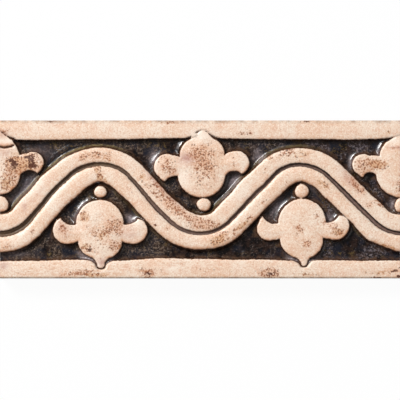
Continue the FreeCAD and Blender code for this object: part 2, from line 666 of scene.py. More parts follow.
@dataclass
class Ribbon:
    """The waving ribbon of two rounded bands with a groove between them, fuller inside the bends."""

    wave_length: float = 76.2
    wave_count: int = 2
    wave_height: float = 26.6
    wave_shift: float = 0.4
    bend_radius: float = 15.2
    band_width: float = 5.6
    bend_fullness: float = 1.0
    groove_width: float = 1.25
    crest_groove: float = 0.2
    rise_fullness: float = 0.35
    rise: float = 3.42
    outer_crowns: Point = (0.32, 0.5)
    inner_crowns: Point = (0.2, 0.5)
    groove_depth: float = 0.95
    groove_swells: tuple[Swell, ...] = (
        Swell(-69.0, 9.0, 1.2),
        Swell(-46.0, 10.0, 0.4),
        Swell(-15.0, 9.0, 0.4),
        Swell(20.0, 12.0, 0.2),
        Swell(62.0, 14.0, 0.65),
    )
    groove_flank: float = 0.3
    bend_depth: float = 3.0
    bend_span: Point = (0.5, 1.0)
    rise_span: Point = (0.2, 0.9)
    crest_span: Point = (0.3, 1.0)
    side_blend: float = 0.3
    outer_blend: float = 0.2
    step: float = 0.4
    wall: Wall = Wall(run=1.0, pool_height=0.5, pool_radius=0.6, edge_round=0.08)

    def path(self) -> list[Vector]:
        """Middle line of the ribbon: bends joined by straight flanks.

        Returns:
            The line's points, from end to end of the tile.
        """
        half_wave = self.wave_length / 2
        spare = 2 * self.bend_radius - self.wave_height
        slope = math.asin(2 * self.bend_radius / math.hypot(half_wave, spare)) - math.atan2(spare, half_wave)
        points: list[Vector] = []
        for leg in range(2 * self.wave_count):
            up = 1 if leg % 2 == 0 else -1
            turning = self.wave_shift - up * self.wave_height / 2
            start = Vector(((leg - self.wave_count) * half_wave, turning))
            end = start + Vector((half_wave, up * self.wave_height))
            turns = [
                self.bend_radius * Vector((math.sin(turn), up * (1 - math.cos(turn))))
                for turn in (0, slope / 2, slope)
            ]
            rising = [start + turn for turn in turns]
            levelling = [end - turn for turn in reversed(turns)]
            points += arc_through(*rising, self.step) + [rising[2]] + arc_through(*levelling, self.step)
        return points + [end]

    @staticmethod
    def crown(tree: ReliefTree, name: str, crowns: Point, below: Wire) -> Wire:
        """How far the upper and the lower band round off towards one of their edges."""
        upper, lower = crowns
        return tree.given(f"Upper {name}", upper) + below * tree.given(f"Lower {name}", lower - upper)

    def relief(self, tree: ReliefTree, place: Wire) -> tuple[Motif, Wire]:
        """Height and rim of the ribbon.

        Args:
            tree: The tree that nodes go into.
            place: Where on the face the relief is looked up.

        Returns:
            The ribbon as a motif, and the share of a point that lies on the ribbon's outer side.
        """
        line = tree.drawing("Ribbon path", path_object("ribbon_path", [self.path()]))
        near = {"Target": line, "Source Position": place}
        nearest = tree.add("GeometryNodeProximity", {"target_element": "EDGES"}, near)
        away = Wire(tree, nearest.outputs["Distance"])
        offset = tree.vector("SUBTRACT", place, Wire(tree, nearest.outputs["Position"]))
        below = 1 - tree.ramp(tree.axis(offset, "Y"), -self.side_blend, self.side_blend)
        along = tree.axis(place, "X")
        across = tree.axis(place, "Y")
        phase = along * (math.tau / self.wave_length)
        bend = tree.math("COSINE", phase)
        middle = self.wave_height / 2
        inside_bend = 1 - tree.ramp(abs(across - self.wave_shift), middle - self.bend_depth, middle)
        fuller = tree.ramp(abs(bend), *self.bend_span) * inside_bend
        fuller = fuller * tree.given("Bend fullness", self.bend_fullness)
        rising = tree.ramp(tree.math("SINE", phase), *self.rise_span)
        width = tree.given("Band width", self.band_width) + fuller
        width = width + rising * tree.given("Rise fullness", self.rise_fullness)
        groove_width = tree.given("Groove width", self.groove_width)
        for swell in self.groove_swells:
            share = (along - swell.along) / swell.reach
            groove_width = groove_width + tree.math("EXPONENT", -(share * share)) * swell.extra
        crest = tree.ramp(-bend, *self.crest_span)
        lip = (groove_width + crest * tree.given("Crest groove", self.crest_groove)) / 2
        share = (away - lip - width / 2) / (width / 2)
        outer = tree.most(share, 0.0)
        inner = tree.least(share, 0.0)
        dip = outer * outer * outer * self.crown(tree, "outer crown", self.outer_crowns, below)
        dip = dip - inner * inner * inner * self.crown(tree, "inner crown", self.inner_crowns, below)
        rim = lip + width - away
        top = tree.given("Ribbon rise", self.rise) - dip
        groove = tree.ramp(lip - away, -self.groove_flank / 2, self.groove_flank)
        height = self.wall.raised(tree, top, self.rise - max(self.outer_crowns), rim)
        height = height - groove * tree.given("Groove depth", self.groove_depth)
        outer_side = tree.ramp(share, -self.outer_blend, self.outer_blend)
        return Motif(height, tree.least(rim, away - lip)), outer_side


@dataclass
class Blossoms:
    """The blossoms in the bends of the wave and the beads that go with them."""

    shapes: dict[Outline, Union[BlossomShape, BeadShape]] = field(
        default_factory=lambda: {
            Outline.LEFT_END: BlossomShape(
                right=Ear(12.7, 3.35, 4.57, 61.0, 1.05, 34.0, 1.3),
                head_radius=8.3, cup_bulge=0.3, neck_width=9.8, tip_width=2.2, tip_length=3.0,
                ogee_sag=0.1,
            ),
            Outline.LEFT: BlossomShape(
                left=Ear(12.6, 2.4, 5.2, 63.0, 1.0, 43.5, 1.14, 1.2),
                right=Ear(12.75, 2.2, 5.35, 67.0, 0.9, 44.0, 1.15, 0.7),
                notch_angle=-1.0, cup_depth=12.8, cup_bulge=1.25, neck_width=7.6, tip_width=2.8,
                tip_round=1.0, tip_length=3.9, tip_shift=0.3, ogee_sag=0.6,
            ),
            Outline.CENTRE: BlossomShape(
                left=Ear(13.2, 2.5, 4.84, 82.0, 1.14, 36.0, 1.27, 0.7),
                right=Ear(13.2, 3.85, 4.8, 62.0, 1.0, 34.0, 1.16),
                cup_depth=13.0, cup_bulge=1.3, neck_width=9.0, tip_width=1.8, tip_length=3.7,
                tip_round=0.5, tip_shift=0.3, ogee_sag=0.0,
            ),
            Outline.RIGHT: BlossomShape(
                left=Ear(12.5, 1.9, 4.75, 60.0, 1.1, 45.0, 1.2, 1.2),
                right=Ear(12.7, 1.7, 4.9, 74.0, 0.92, 38.5, 1.24, 0.8),
                notch_angle=0.0, cup_depth=13.1, cup_bulge=1.3, neck_width=7.2, tip_width=2.0,
                tip_shift=0.8, ogee_sag=0.6,
            ),
            Outline.RIGHT_END: BlossomShape(
                left=Ear(14.5, 3.2, 3.92, 91.0, 1.27, 26.0, 1.8),
                head_radius=9.5, cup_depth=12.1, cup_bulge=0.8, neck_width=10.0, tip_width=2.2,
                tip_length=3.0, ogee_sag=0.1,
            ),
            Outline.BEAD: BeadShape(),
        }
    )
    spots: tuple[Spot, ...] = (
        Spot(Outline.LEFT_END, -76.3, 10.2, (1.0, -1.0)),
        Spot(Outline.LEFT, -37.95, -9.35),
        Spot(Outline.CENTRE, 0.65, 9.9, (1.0, -1.0)),
        Spot(Outline.RIGHT, 38.75, -8.85),
        Spot(Outline.RIGHT_END, 76.4, 10.2, (1.0, -1.0)),
        Spot(Outline.BEAD, -76.0, -1.55, (1.06, 1.03)),
        Spot(Outline.BEAD, -37.8, 2.75, (0.85, 0.76)),
        Spot(Outline.BEAD, 1.4, -1.7, (0.94, 0.8)),
        Spot(Outline.BEAD, 38.6, 3.0, (0.94, 0.87)),
        Spot(Outline.BEAD, 76.3, -2.1, (0.8, 0.95)),
    )
    creases: tuple[Crease, ...] = (Crease((-77.0, 20.5), (-73.7, 19.95), (-70.9, 20.7)),)
    crease_width: float = 0.8
    crease_depth: float = 0.8
    rise: float = 3.0
    swell: float = 0.32
    swell_reach: float = 5.0
    bead_rise: float = 3.0
    bead_crown: float = 0.38
    pocket: float = 0.55
    upper_pocket: float = 0.34
    upper_span: Point = (22.6, 25.2)
    pocket_mouth: float = 0.9
    mouth_span: Point = (23.3, 25.3)
    joined: float = -1.0
    joined_span: Point = (25.4, 27.4)
    joined_right: float = 2.4
    joined_right_span: Point = (50.0, 60.0)
    joined_left: float = 2.8
    joined_left_start: Point = (-16.0, -12.0)
    joined_left_end: Point = (-1.5, 0.0)
    break_pitch: float = 1.8
    break_share: Point = (0.44, 0.54)
    wall: Wall = Wall(run=0.5, pool_height=0.65, pool_radius=4.6)
    bead_wall: Wall = Wall(run=0.4, pool_height=0.6, pool_radius=2.2)

    def seed(self) -> bpy.types.Object:
        """Put a point at each spot, with the outline and the stretch that belong there.

        Returns:
            The points as the object that the tree starts from.
        """
        mesh = bpy.data.meshes.new("relief_spots")
        mesh.from_pydata([(spot.along, spot.across, 0) for spot in self.spots], [], [])
        kinds = [spot.outline.value for spot in self.spots]
        sizes = [size for spot in self.spots for size in (*spot.stretch, 1.0)]
        mesh.attributes.new("outline", "INT", "POINT").data.foreach_set("value", kinds)
        mesh.attributes.new("stretch", "FLOAT_VECTOR", "POINT").data.foreach_set("vector", sizes)
        return linked("relief_spots", mesh)

    def set_out(self, tree: ReliefTree, outline: Outline) -> Wire:
        """Curves of one outline, set out on its spots.

        Args:
            tree: The tree that nodes go into.
            outline: Which outline.

        Returns:
            The curves.
        """
        name = outline.name.lower()
        equal = {"data_type": "INT", "operation": "EQUAL"}
        kinds = {"A_INT": tree.layer("outline", "INT"), "B_INT": outline.value}
        setting = {
            "Points": tree.geometry(),
            "Selection": tree.wire("FunctionNodeCompare", equal, kinds),
            "Instance": tree.drawing(f"{name} outline", outline_object(name, self.shapes[outline].points())),
            "Scale": tree.layer("stretch", "FLOAT_VECTOR"),
        }
        placed = tree.wire("GeometryNodeInstanceOnPoints", {}, setting)
        return tree.wire("GeometryNodeRealizeInstances", {}, {"Geometry": placed})

    @staticmethod
    def inside(tree: ReliefTree, curves: Sequence[Wire], place: Wire) -> Wire:
        """Distance inside closed curves, below 0 outside them.

        Args:
            tree: The tree that nodes go into.
            curves: The curves.
            place: Where on the face the distance is looked up.

        Returns:
            The distance.
        """
        join = tree.add("GeometryNodeJoinGeometry", {}, {})
        for curve in curves:
            tree.tree.links.new(curve.socket, join.inputs[0])
        lines = Wire(tree, join.outputs[0])
        plates = tree.wire("GeometryNodeFillCurve", {}, {"Curve": lines})
        rims = tree.wire("GeometryNodeCurveToMesh", {}, {"Curve": lines})
        outside = tree.away(plates, place, "FACES")
        return tree.away(rims, place) * tree.math("LESS_THAN", outside, TOUCHING) - outside

    def creased(self, tree: ReliefTree, place: Wire, motif: Motif) -> Motif:
        """Press the creases into the blossoms.

        Args:
            tree: The tree that nodes go into.
            place: Where on the face the creases are looked up.
            motif: The blossoms as they are.

        Returns:
            The blossoms with their creases.
        """
        paths = []
        for crease in self.creases:
            start, middle, end = Vector(crease.start), Vector(crease.middle), Vector(crease.end)
            paths.append([*arc_through(start, middle, end, self.crease_width), end])
        away = tree.away(tree.drawing("Creases", path_object("creases", paths)), place)
        width = tree.given("Crease width", self.crease_width)
        cut = (1 - tree.ramp(away, 0.0, width)) * tree.given("Crease depth", self.crease_depth)
        return Motif(motif.height - cut, tree.least(motif.rim, away - width / 2))

    def blossoms(self, tree: ReliefTree, place: Wire) -> tuple[Motif, Wire]:
        """Height and rim of the blossoms.

        Args:
            tree: The tree that nodes go into.
            place: Where on the face the relief is looked up.

        Returns:
            The blossoms as a motif, and how far a point lies outside their pockets.
        """
        curves = [self.set_out(tree, kind) for kind in Outline if kind is not Outline.BEAD]
        rim = self.inside(tree, curves, place)
        swell = tree.ramp(rim, 0.0, tree.given("Blossom swell reach", self.swell_reach))
        top = tree.given("Blossom rise", self.rise) + swell * tree.given("Blossom swell", self.swell)
        across = tree.axis(place, "Y")
        mouth = 1 - tree.ramp(abs(across), *self.mouth_span)
        pocket = tree.given("Pocket width", self.pocket)
        pocket = pocket + mouth * tree.given("Pocket mouth", self.pocket_mouth)
        upper = tree.ramp(across, *self.upper_span)
        pocket = pocket + upper * (tree.given("Upper pocket", self.upper_pocket) - pocket)
        along = tree.axis(place, "X")
        early = tree.ramp(along, *self.joined_right_span) * tree.given("Joined right", self.joined_right)
        left_of_tip = tree.ramp(along, *self.joined_left_start)
        left_of_tip = left_of_tip * (1 - tree.ramp(along, *self.joined_left_end))
        breaks = tree.ramp(tree.noise(place, self.break_pitch, 1.0), *self.break_share)
        early = early + left_of_tip * breaks * tree.given("Joined left", self.joined_left)
        closing = tree.ramp(across + early, *self.joined_span)
        grown = closing * (tree.given("Joined", self.joined) - pocket)
        motif = self.creased(tree, place, Motif(self.wall.raised(tree, top, self.rise, rim), rim))
        return motif, -rim - pocket - grown

    def beads(self, tree: ReliefTree, place: Wire) -> Motif:
        """Height and rim of the beads.

        Args:
            tree: The tree that nodes go into.
            place: Where on the face the relief is looked up.

        Returns:
            The beads as a motif.
        """
        rim = self.inside(tree, [self.set_out(tree, Outline.BEAD)], place)
        radius = tree.given("Bead radius", self.shapes[Outline.BEAD].radius)
        share = tree.most(radius - rim, 0.0) / radius
        top = tree.given("Bead rise", self.bead_rise)
        top = top - share * share * tree.given("Bead crown", self.bead_crown)
        return Motif(self.bead_wall.raised(tree, top, self.bead_rise - self.bead_crown, rim), rim)


@dataclass
class Skin:
    """The tile's whole outer surface: the relief above, plain sides, and a keyed back."""

    # Size of the tile, and the grid that its face is raised on
    length: float = 152.4
    width: float = 60.0
    body: float = 8.0
    columns: int = 456
    rows: int = 180
    ceiling: float = 3.47
    snap: float = 0.42
    snap_slope: float = 0.5
    # Unevenness of the clay and of the glaze on it
    waver: float = 0.2
    waver_pitch: float = 7.0
    wobble: float = 0.44
    wobble_pitch: float = 2.1
    pool_swell: float = 0.64
    pool_pitch: float = 4.2
    ripple: float = 0.1
    ripple_pitch: float = 1.5
    calm: float = 0.7
    calm_span: Point = (-3.6, -2.0)
    top_swell: float = 0.24
    top_level: float = 0.55
    top_pitch: float = 9.0
    weld: float = 0.5
    low_span: Point = (-0.6, 0.1)
    # Ways that the lit walls face, which keep their amber as painted light, and that the shade-side edges
    # face, which get painted shade
    light_facing: Point = (0.9, -0.6)
    light_facing_full: float = 0.6
    thin_left: float = 0.5
    thin_span: Point = (-15.0, 15.0)
    thin_blend: float = 0.3
    lee: Point = (-0.35, 0.85)
    shade_side_full: float = 0.8
    down_blend: float = 0.2
    # Pockets in the rails
    pocket_floor: float = 1.9
    pocket_lip: float = 0.1
    pocket_flank: float = 0.5
    pocket_spare: float = 0.1
    # Sides and keyed back
    side_rows: int = 5
    side_waver: float = 0.16
    side_turn: float = 0.11
    side_skew: float = 1.7
    side_lean: float = 5.0
    side_still: float = 0.25
    side_share: float = 0.93
    foot_share: float = 0.025
    foot_inset: float = 0.3
    back_round: float = 0.45
    key_pitch: float = 12.0
    key_count: int = 4
    key_mouth: float = 2.0
    key_root: float = 1.4
    key_depth: float = 1.0
    # Relief, and where it was pushed aside
    rails: Rails = field(default_factory=Rails)
    ribbon: Ribbon = field(default_factory=Ribbon)
    blossoms: Blossoms = field(default_factory=Blossoms)
    nudges: tuple[Nudge, ...] = (
        Nudge(-62.0, 23.0, (15.0, 4.0), (0.0, -0.75)),
        Nudge(-30.0, 23.0, (14.0, 4.0), (0.0, -0.35)),
        Nudge(25.0, 23.0, (16.0, 4.0), (0.0, -0.3)),
        Nudge(57.0, 23.0, (12.0, 4.0), (0.0, -0.55)),
        Nudge(-48.0, -23.3, (9.0, 3.0), (0.0, 0.4)),
        Nudge(-14.0, -23.3, (10.0, 3.0), (0.0, 1.1)),
        Nudge(3.0, -23.3, (9.0, 3.0), (0.0, 0.7)),
        Nudge(22.0, -23.3, (9.0, 3.0), (0.0, 0.55)),
        Nudge(48.0, -23.3, (10.0, 3.0), (0.0, 0.2)),
        Nudge(76.2, -23.3, (6.0, 3.0), (0.0, 0.2)),
        Nudge(-76.2, -17.5, (8.0, 5.0), (0.0, -0.6)),
        Nudge(-55.0, 2.6, (9.0, 9.0), (-0.42, 0.4)),
        Nudge(-59.8, 8.3, (6.0, 6.0), (-0.6, 0.56)),
        Nudge(-15.5, -3.4, (8.0, 8.0), (-0.38, -0.36)),
        Nudge(19.0, 0.4, (14.0, 14.0), (0.32, -0.3)),
        Nudge(15.3, 6.7, (6.0, 6.0), (-0.6, 0.56)),
        Nudge(57.5, -8.8, (5.0, 5.0), (0.34, 0.32)),
        Nudge(66.5, -10.0, (7.0, 7.0), (0.5, 0.25)),
        Nudge(-39.0, 16.5, (12.0, 5.0), (0.0, -0.4)),
        Nudge(39.5, 16.5, (11.0, 6.0), (0.0, -0.65)),
        Nudge(-38.0, 7.2, (3.0, 2.2), (0.0, 0.6)),
        Nudge(45.0, 4.8, (4.0, 3.0), (0.4, 0.5)),
        Nudge(38.5, 7.0, (3.0, 2.5), (0.0, 0.6)),
        Nudge(25.5, 8.0, (6.0, 6.0), (0.35, -0.33)),
        Nudge(50.0, 11.0, (8.0, 7.0), (-0.35, -0.35)),
        Nudge(-46.0, 18.0, (5.0, 4.0), (0.2, -0.35)),
        Nudge(-23.5, -4.6, (7.0, 7.0), (-0.2, -0.2)),
        Nudge(-72.0, -5.0, (5.0, 4.0), (0.45, -0.55)),
        Nudge(70.0, -17.0, (5.0, 3.5), (0.0, 0.55)),
        Nudge(72.0, -4.5, (4.0, 3.0), (-0.3, -0.45)),
        Nudge(4.0, -5.4, (5.0, 2.6), (0.0, -0.65)),
        Nudge(76.2, -19.5, (4.0, 3.0), (0.0, -0.7)),
    )

    def pushed(self, tree: ReliefTree, spot: Wire) -> Wire:
        """Where each point of the face lay before the clay was pushed aside.

        Args:
            tree: The tree that nodes go into.
            spot: Place on the face.

        Returns:
            The place that the point takes its relief from.
        """
        place = spot
        shakes = (
            ("Waver", self.waver, self.waver_pitch, 3.0),
            ("Wobble", self.wobble, self.wobble_pitch, 2.0),
        )
        for name, reach, pitch, detail in shakes:
            shake = tree.noise(spot, pitch, detail, output="Color")
            sway = tree.vector("SUBTRACT", shake, (0.5, 0.5, 0.5))
            sway = tree.vector("MULTIPLY", sway, (1.0, 1.0, 0.0))
            place = tree.vector("ADD", place, tree.scaled(sway, tree.given(name, reach)))
        for nudge in self.nudges:
            offset = tree.vector("SUBTRACT", spot, (nudge.along, nudge.across, 0.0))
            offset = tree.vector("DIVIDE", offset, (*nudge.reach, 1.0))
            share = tree.math("EXPONENT", -tree.vector("DOT_PRODUCT", offset, offset, output="Value"))
            place = tree.vector("SUBTRACT", place, tree.scaled((*nudge.push, 0.0), share))
        return place

    def slopes(self, tree: ReliefTree) -> tuple[Wire, Wire]:
        """How fast the distance inside the rim grows from one point of the grid to the next.

        Args:
            tree: The tree that nodes go into.

        Returns:
            The growth along X and along Y.
        """
        rim = tree.layer("rim")
        index = tree.wire("GeometryNodeInputIndex", {}, {})

        def beside(step: int) -> Wire:
            """Distance at a neighbouring point of the grid."""
            inputs = {"Value": rim, "Index": index + step}
            return tree.wire("GeometryNodeFieldAtIndex", {"data_type": "FLOAT"}, inputs)

        cell_x, cell_y = self.length / (self.columns - 1), self.width / (self.rows - 1)
        slope_x = (beside(self.rows) - beside(-self.rows)) * (0.5 / cell_x)
        return slope_x, (beside(1) - beside(-1)) * (0.5 / cell_y)

    def snapped(self, tree: ReliefTree, shape: Wire) -> Wire:
        """Draw the grid's points that lie beside a rim onto it, so that the edges of the relief are sharp.

        Args:
            tree: The tree that nodes go into.
            shape: The flat grid, with the distance inside the rim as an attribute.

        Returns:
            The grid with its points drawn onto the rims.
        """
        rim = tree.layer("rim")
        cell_x, cell_y = self.length / (self.columns - 1), self.width / (self.rows - 1)
        slope_x, slope_y = self.slopes(tree)
        steep = tree.most(slope_x * slope_x + slope_y * slope_y, self.snap_slope)
        spot = tree.wire("GeometryNodeInputPosition", {}, {})
        along = abs(tree.axis(spot, "X"))
        across = abs(tree.axis(spot, "Y"))
        free = tree.math("LESS_THAN", along, self.length / 2 - cell_x / 2)
        free = free * tree.math("LESS_THAN", across, self.width / 2 - cell_y / 2)
        near = tree.math("LESS_THAN", abs(rim), self.snap * min(cell_x, cell_y))
        pull = -rim / steep * near * free
        shift = tree.wire("ShaderNodeCombineXYZ", {}, {"X": slope_x * pull, "Y": slope_y * pull})
        return tree.wire("GeometryNodeSetPosition", {}, {"Geometry": shape, "Offset": shift})

    def glazed(self, tree: ReliefTree, spot: Wire, rim: Wire, height: Wire) -> Wire:
        """Let the glaze pool in the recess and swell on the relief.

        Args:
            tree: The tree that nodes go into.
            spot: Place on the face.
            rim: How far inside the rim of the relief a point lies.
            height: Height of the pressed relief.

        Returns:
            Height with the glaze on it.
        """
        low = 1 - tree.ramp(rim, *self.low_span)
        pool = (tree.noise(spot, self.pool_pitch, 2.0) - 0.5) * tree.given("Pool swell", self.pool_swell)
        pool = pool + (tree.noise(spot, self.ripple_pitch, 2.0) - 0.5) * tree.given("Ripple", self.ripple)
        pool = pool * (1 - tree.ramp(rim, *self.calm_span) * self.calm)
        rise = tree.noise(spot, self.top_pitch, 3.0) - self.top_level
        rise = rise * tree.given("Top swell", self.top_swell)
        height = height + pool * low + rise * (1 - low)
        return tree.least(height, tree.given("Ceiling", self.ceiling))

    def marked(self, tree: ReliefTree, shape: Wire, thin: Wire, outer: Wire) -> Wire:
        """Write onto the face what its colours follow: thin glaze on the ribbon's walls that face the light,
        edges on the shade side for painted shade, the groove, the way down.

        Args:
            tree: The tree that nodes go into.
            shape: The flat grid, with the distance inside the rim as an attribute.
            thin: Share of a point that belongs to the ribbon's outer walls.
            outer: Share of a point that lies on the ribbon's outer side.

        Returns:
            The grid with these values.
        """
        slope_x, slope_y = self.slopes(tree)
        along = tree.axis(tree.wire("GeometryNodeInputPosition", {}, {}), "X")
        # Painted light: only walls whose rim faces the light keep their amber.
        lit_walls = tree.ramp(slope_x * self.light_facing[0] + slope_y * self.light_facing[1], 0.0, self.light_facing_full)
        lit_walls = lit_walls * (1 - tree.ramp(along, *self.thin_span) * self.thin_left)
        # Shade side: rims that face away from the light, down and to the right, get painted shade in the
        # glaze.
        lee = tree.ramp(slope_x * self.lee[0] + slope_y * self.lee[1], 0.0, self.shade_side_full)
        down = tree.ramp(slope_y, -self.down_blend, self.down_blend)
        for name, value in (("thin", thin * lit_walls), ("lee", lee), ("groove", 1 - outer), ("down", down)):
            shape = tree.keep(shape, name, value)
        return shape

    def relief(self, glaze: bpy.types.Material) -> bpy.types.Mesh:
        """Raise the relief on a fine grid.

        Args:
            glaze: Material of the whole tile.

        Returns:
            The decorated face as an open mesh, in metres.
        """
        tree = ReliefTree("border_relief")
        sizes = {
            "Size X": tree.given("Length", self.length),
            "Size Y": tree.given("Width", self.width),
            "Vertices X": tree.given("Columns", self.columns, "NodeSocketInt"),
            "Vertices Y": tree.given("Rows", self.rows, "NodeSocketInt"),
        }
        grid = tree.wire("GeometryNodeMeshGrid", {}, sizes, "Mesh")
        spot = tree.wire("GeometryNodeInputPosition", {}, {})
        place = self.pushed(tree, spot)
        across = abs(tree.axis(place, "Y"))
        true_across = abs(tree.axis(spot, "Y"))
        blossom, clear = self.blossoms.blossoms(tree, place)
        rail = self.rails.relief(tree, across, true_across, clear)
        floor = tree.given("Pocket floor", self.pocket_floor)
        open_rail = tree.ramp(clear, -self.pocket_lip, self.pocket_flank)
        climb = self.rails.rise - self.pocket_floor + self.pocket_spare
        rail_height = tree.least(rail.height, floor + open_rail * climb)
        ribbon, outer = self.ribbon.relief(tree, place)
        bead = self.blossoms.beads(tree, place)
        others = tree.most(rail.rim, tree.most(blossom.rim, bead.rim))
        thin = tree.ramp(ribbon.rim - others, -self.thin_blend, self.thin_blend) * outer
        weld = tree.given("Glaze fillet", self.weld)
        height = rail_height
        rim = rail.rim
        for motif in (ribbon, blossom, bead):
            height = tree.math("SMOOTH_MAX", height, motif.height, weld)
            rim = tree.most(rim, motif.rim)
        height = self.glazed(tree, spot, rim, height)
        lift = tree.wire("ShaderNodeCombineXYZ", {}, {"Z": height + tree.given("Body", self.body)})
        shape = tree.keep(self.snapped(tree, tree.keep(grid, "rim", rim)), "rim", rim)
        shape = self.marked(tree, shape, thin, outer)
        shape = tree.wire("GeometryNodeSetPosition", {}, {"Geometry": shape, "Offset": lift})
        shape = tree.wire("GeometryNodeTransform", {}, {"Geometry": shape, "Scale": (MM, MM, MM)})
        shape = tree.wire("GeometryNodeSetShadeSmooth", {}, {"Geometry": shape})
        shape = tree.wire("GeometryNodeRealizeInstances", {}, {"Geometry": shape})
        dress = {"Geometry": shape, "Material": tree.given("Glaze", glaze, "NodeSocketMaterial")}
        tree.finish(tree.wire("GeometryNodeSetMaterial", {}, dress))
        mesh = tree.run(self.blossoms.seed())
        for name in ("relief_spots", "ribbon_path", "creases", *(kind.name.lower() for kind in Outline)):
            bpy.data.objects.remove(bpy.data.objects[name])
        mesh.materials.clear()
        mesh.materials.append(glaze)
        return mesh

    def key_lines(self) -> list[int]:
        """Rows of the grid that the edges of the back's grooves run along.

        Returns:
            The rows, from one long edge of the tile to the other.
        """
        first = -(self.key_count - 1) / 2 * self.key_pitch
        edges = [
            first + self.key_pitch * i + step
            for i in range(self.key_count)
            for step in (-self.key_mouth, -self.key_root, self.key_root, self.key_mouth)
        ]
        cell = self.width / (self.rows - 1)
        return [0, *(round((edge + self.width / 2) / cell) for edge in edges), self.rows - 1]

    def back_height(self) -> list[float]:
        """Height of the back above the floor, with the keying grooves.

        Returns:
            One height for each row of the grid.
        """
        lines = self.key_lines()
        depths = [0.0, *([0.0, self.key_depth, self.key_depth, 0.0] * self.key_count), 0.0]
        return list(np.interp(range(self.rows), lines, depths))

    def close(self, mesh: bpy.types.Mesh) -> None:
        """Add the sides and the back to the decorated face, so that the skin is closed.

        Args:
            mesh: The decorated face, which is changed.
        """
        work = bmesh.new()
        work.from_mesh(mesh)
        work.verts.ensure_lookup_table()
        depth = work.verts.layers.float.new("depth")
        last_column, last_row = self.columns - 1, self.rows - 1
        ring = [(i, 0) for i in range(last_column)] + [(last_column, j) for j in range(last_row)]
        ring += [(i, last_row) for i in range(last_column, 0, -1)] + [(0, j) for j in range(last_row, 0, -1)]
        floor = self.back_height()
        tops = [work.verts[i * self.rows + j] for i, j in ring]
        levels = self.side_levels()
        rows = [tops]
        for share, inset in levels:
            row = []
            for (i, j), top in zip(ring, tops):
                inward = Vector(((i == 0) - (i == last_column), (j == 0) - (j == last_row), 0))
                base = floor[j] * MM
                height = base + (top.co.z - base) * share
                wave = math.sin(self.side_turn * (i + self.side_skew * j) + self.side_lean * share)
                sway = self.side_waver * (0.5 + 0.5 * wave) * min(1, (1 - share) / self.side_still)
                vert = work.verts.new((top.co.x, top.co.y, height))
                vert.co += inward * (inset + sway) * MM
                vert[depth] = (top.co.z - height) / MM
                row.append(vert)
            rows.append(row)
        for upper, lower in zip(rows, rows[1:]):
            for k in range(len(ring)):
                work.faces.new((lower[k - 1], lower[k], upper[k], upper[k - 1])).smooth = True
        self.close_back(work, dict(zip(ring, rows[-1])))
        work.normal_update()
        work.to_mesh(mesh)
        work.free()

    def side_levels(self) -> list[tuple[float, float]]:
        """Share of the side's height, and inset, of each row of the sides from the top down."""
        steps = [(1 - k / self.side_rows * self.side_share, 0.0) for k in range(1, self.side_rows + 1)]
        return steps + [(self.foot_share, self.back_round * self.foot_inset), (0.0, self.back_round)]

    def close_back(self, work: bmesh.types.BMesh, edge: dict[tuple[int, int], bmesh.types.BMVert]) -> None:
        """Lay the lands and grooves of the back between the two ends.

        Args:
            work: The mesh at work.
            edge: The lowest row of the sides, by column and row of the grid.
        """
        last_column = self.columns - 1
        lines = self.key_lines()
        for low, high in zip(lines, lines[1:]):
            left = [edge[0, j] for j in range(low, high + 1)]
            right = [edge[last_column, j] for j in range(high, low - 1, -1)]
            near = [edge[i, low] for i in range(last_column - 1, 0, -1)] if low == 0 else []
            far = [edge[i, high] for i in range(1, last_column)] if high == self.rows - 1 else []
            work.faces.new([*left, *far, *right, *near]).smooth = False


@dataclass(frozen=True)
class Cloud:
    """Cloudy patches: how far apart, how finely broken, and the noise at which they begin and are full."""

    pitch: float
    detail: float
    low: float
    high: float
    rough: float = 0.5


class GlazeTree(Bench):
    """Tree of the tile's material, with places in millimetres and the values that the skin carries."""

    def __init__(self, tree: bpy.types.NodeTree) -> None:
        """Keep the tree, and look up the place on the tile."""
        super().__init__(tree)
        self.spot = self.scaled(self.wire("ShaderNodeTexCoord", {}, {}, "Object"), 1 / MM)

    def layer(self, name: str) -> Wire:
        """One of the values that the skin carries."""
        return self.wire("ShaderNodeAttribute", {"attribute_name": name}, {}, "Fac")

    def film(self) -> Wire:
        """Share of the milky film, whose colour in the recess is painted sheen."""
        return self.least(self.layer(Tone.HAZE.value), 1.0)

    def patches(self, cloud: Cloud) -> Wire:
        """Patches of a cloud with soft edges."""
        noise = self.noise(self.spot, cloud.pitch, cloud.detail, cloud.rough)
        return self.ramp(noise, cloud.low, cloud.high)

    def layered(self, colour: Tint, *coats: tuple[Number, Tint]) -> Wire:
        """Lay coats over a colour.

        Args:
            colour: The colour at the bottom.
            *coats: Share and colour of each coat, from the bottom up.

        Returns:
            The colour that shows.
        """
        for share, tint in coats:
            colour = self.blend(share, colour, tint)
        return colour


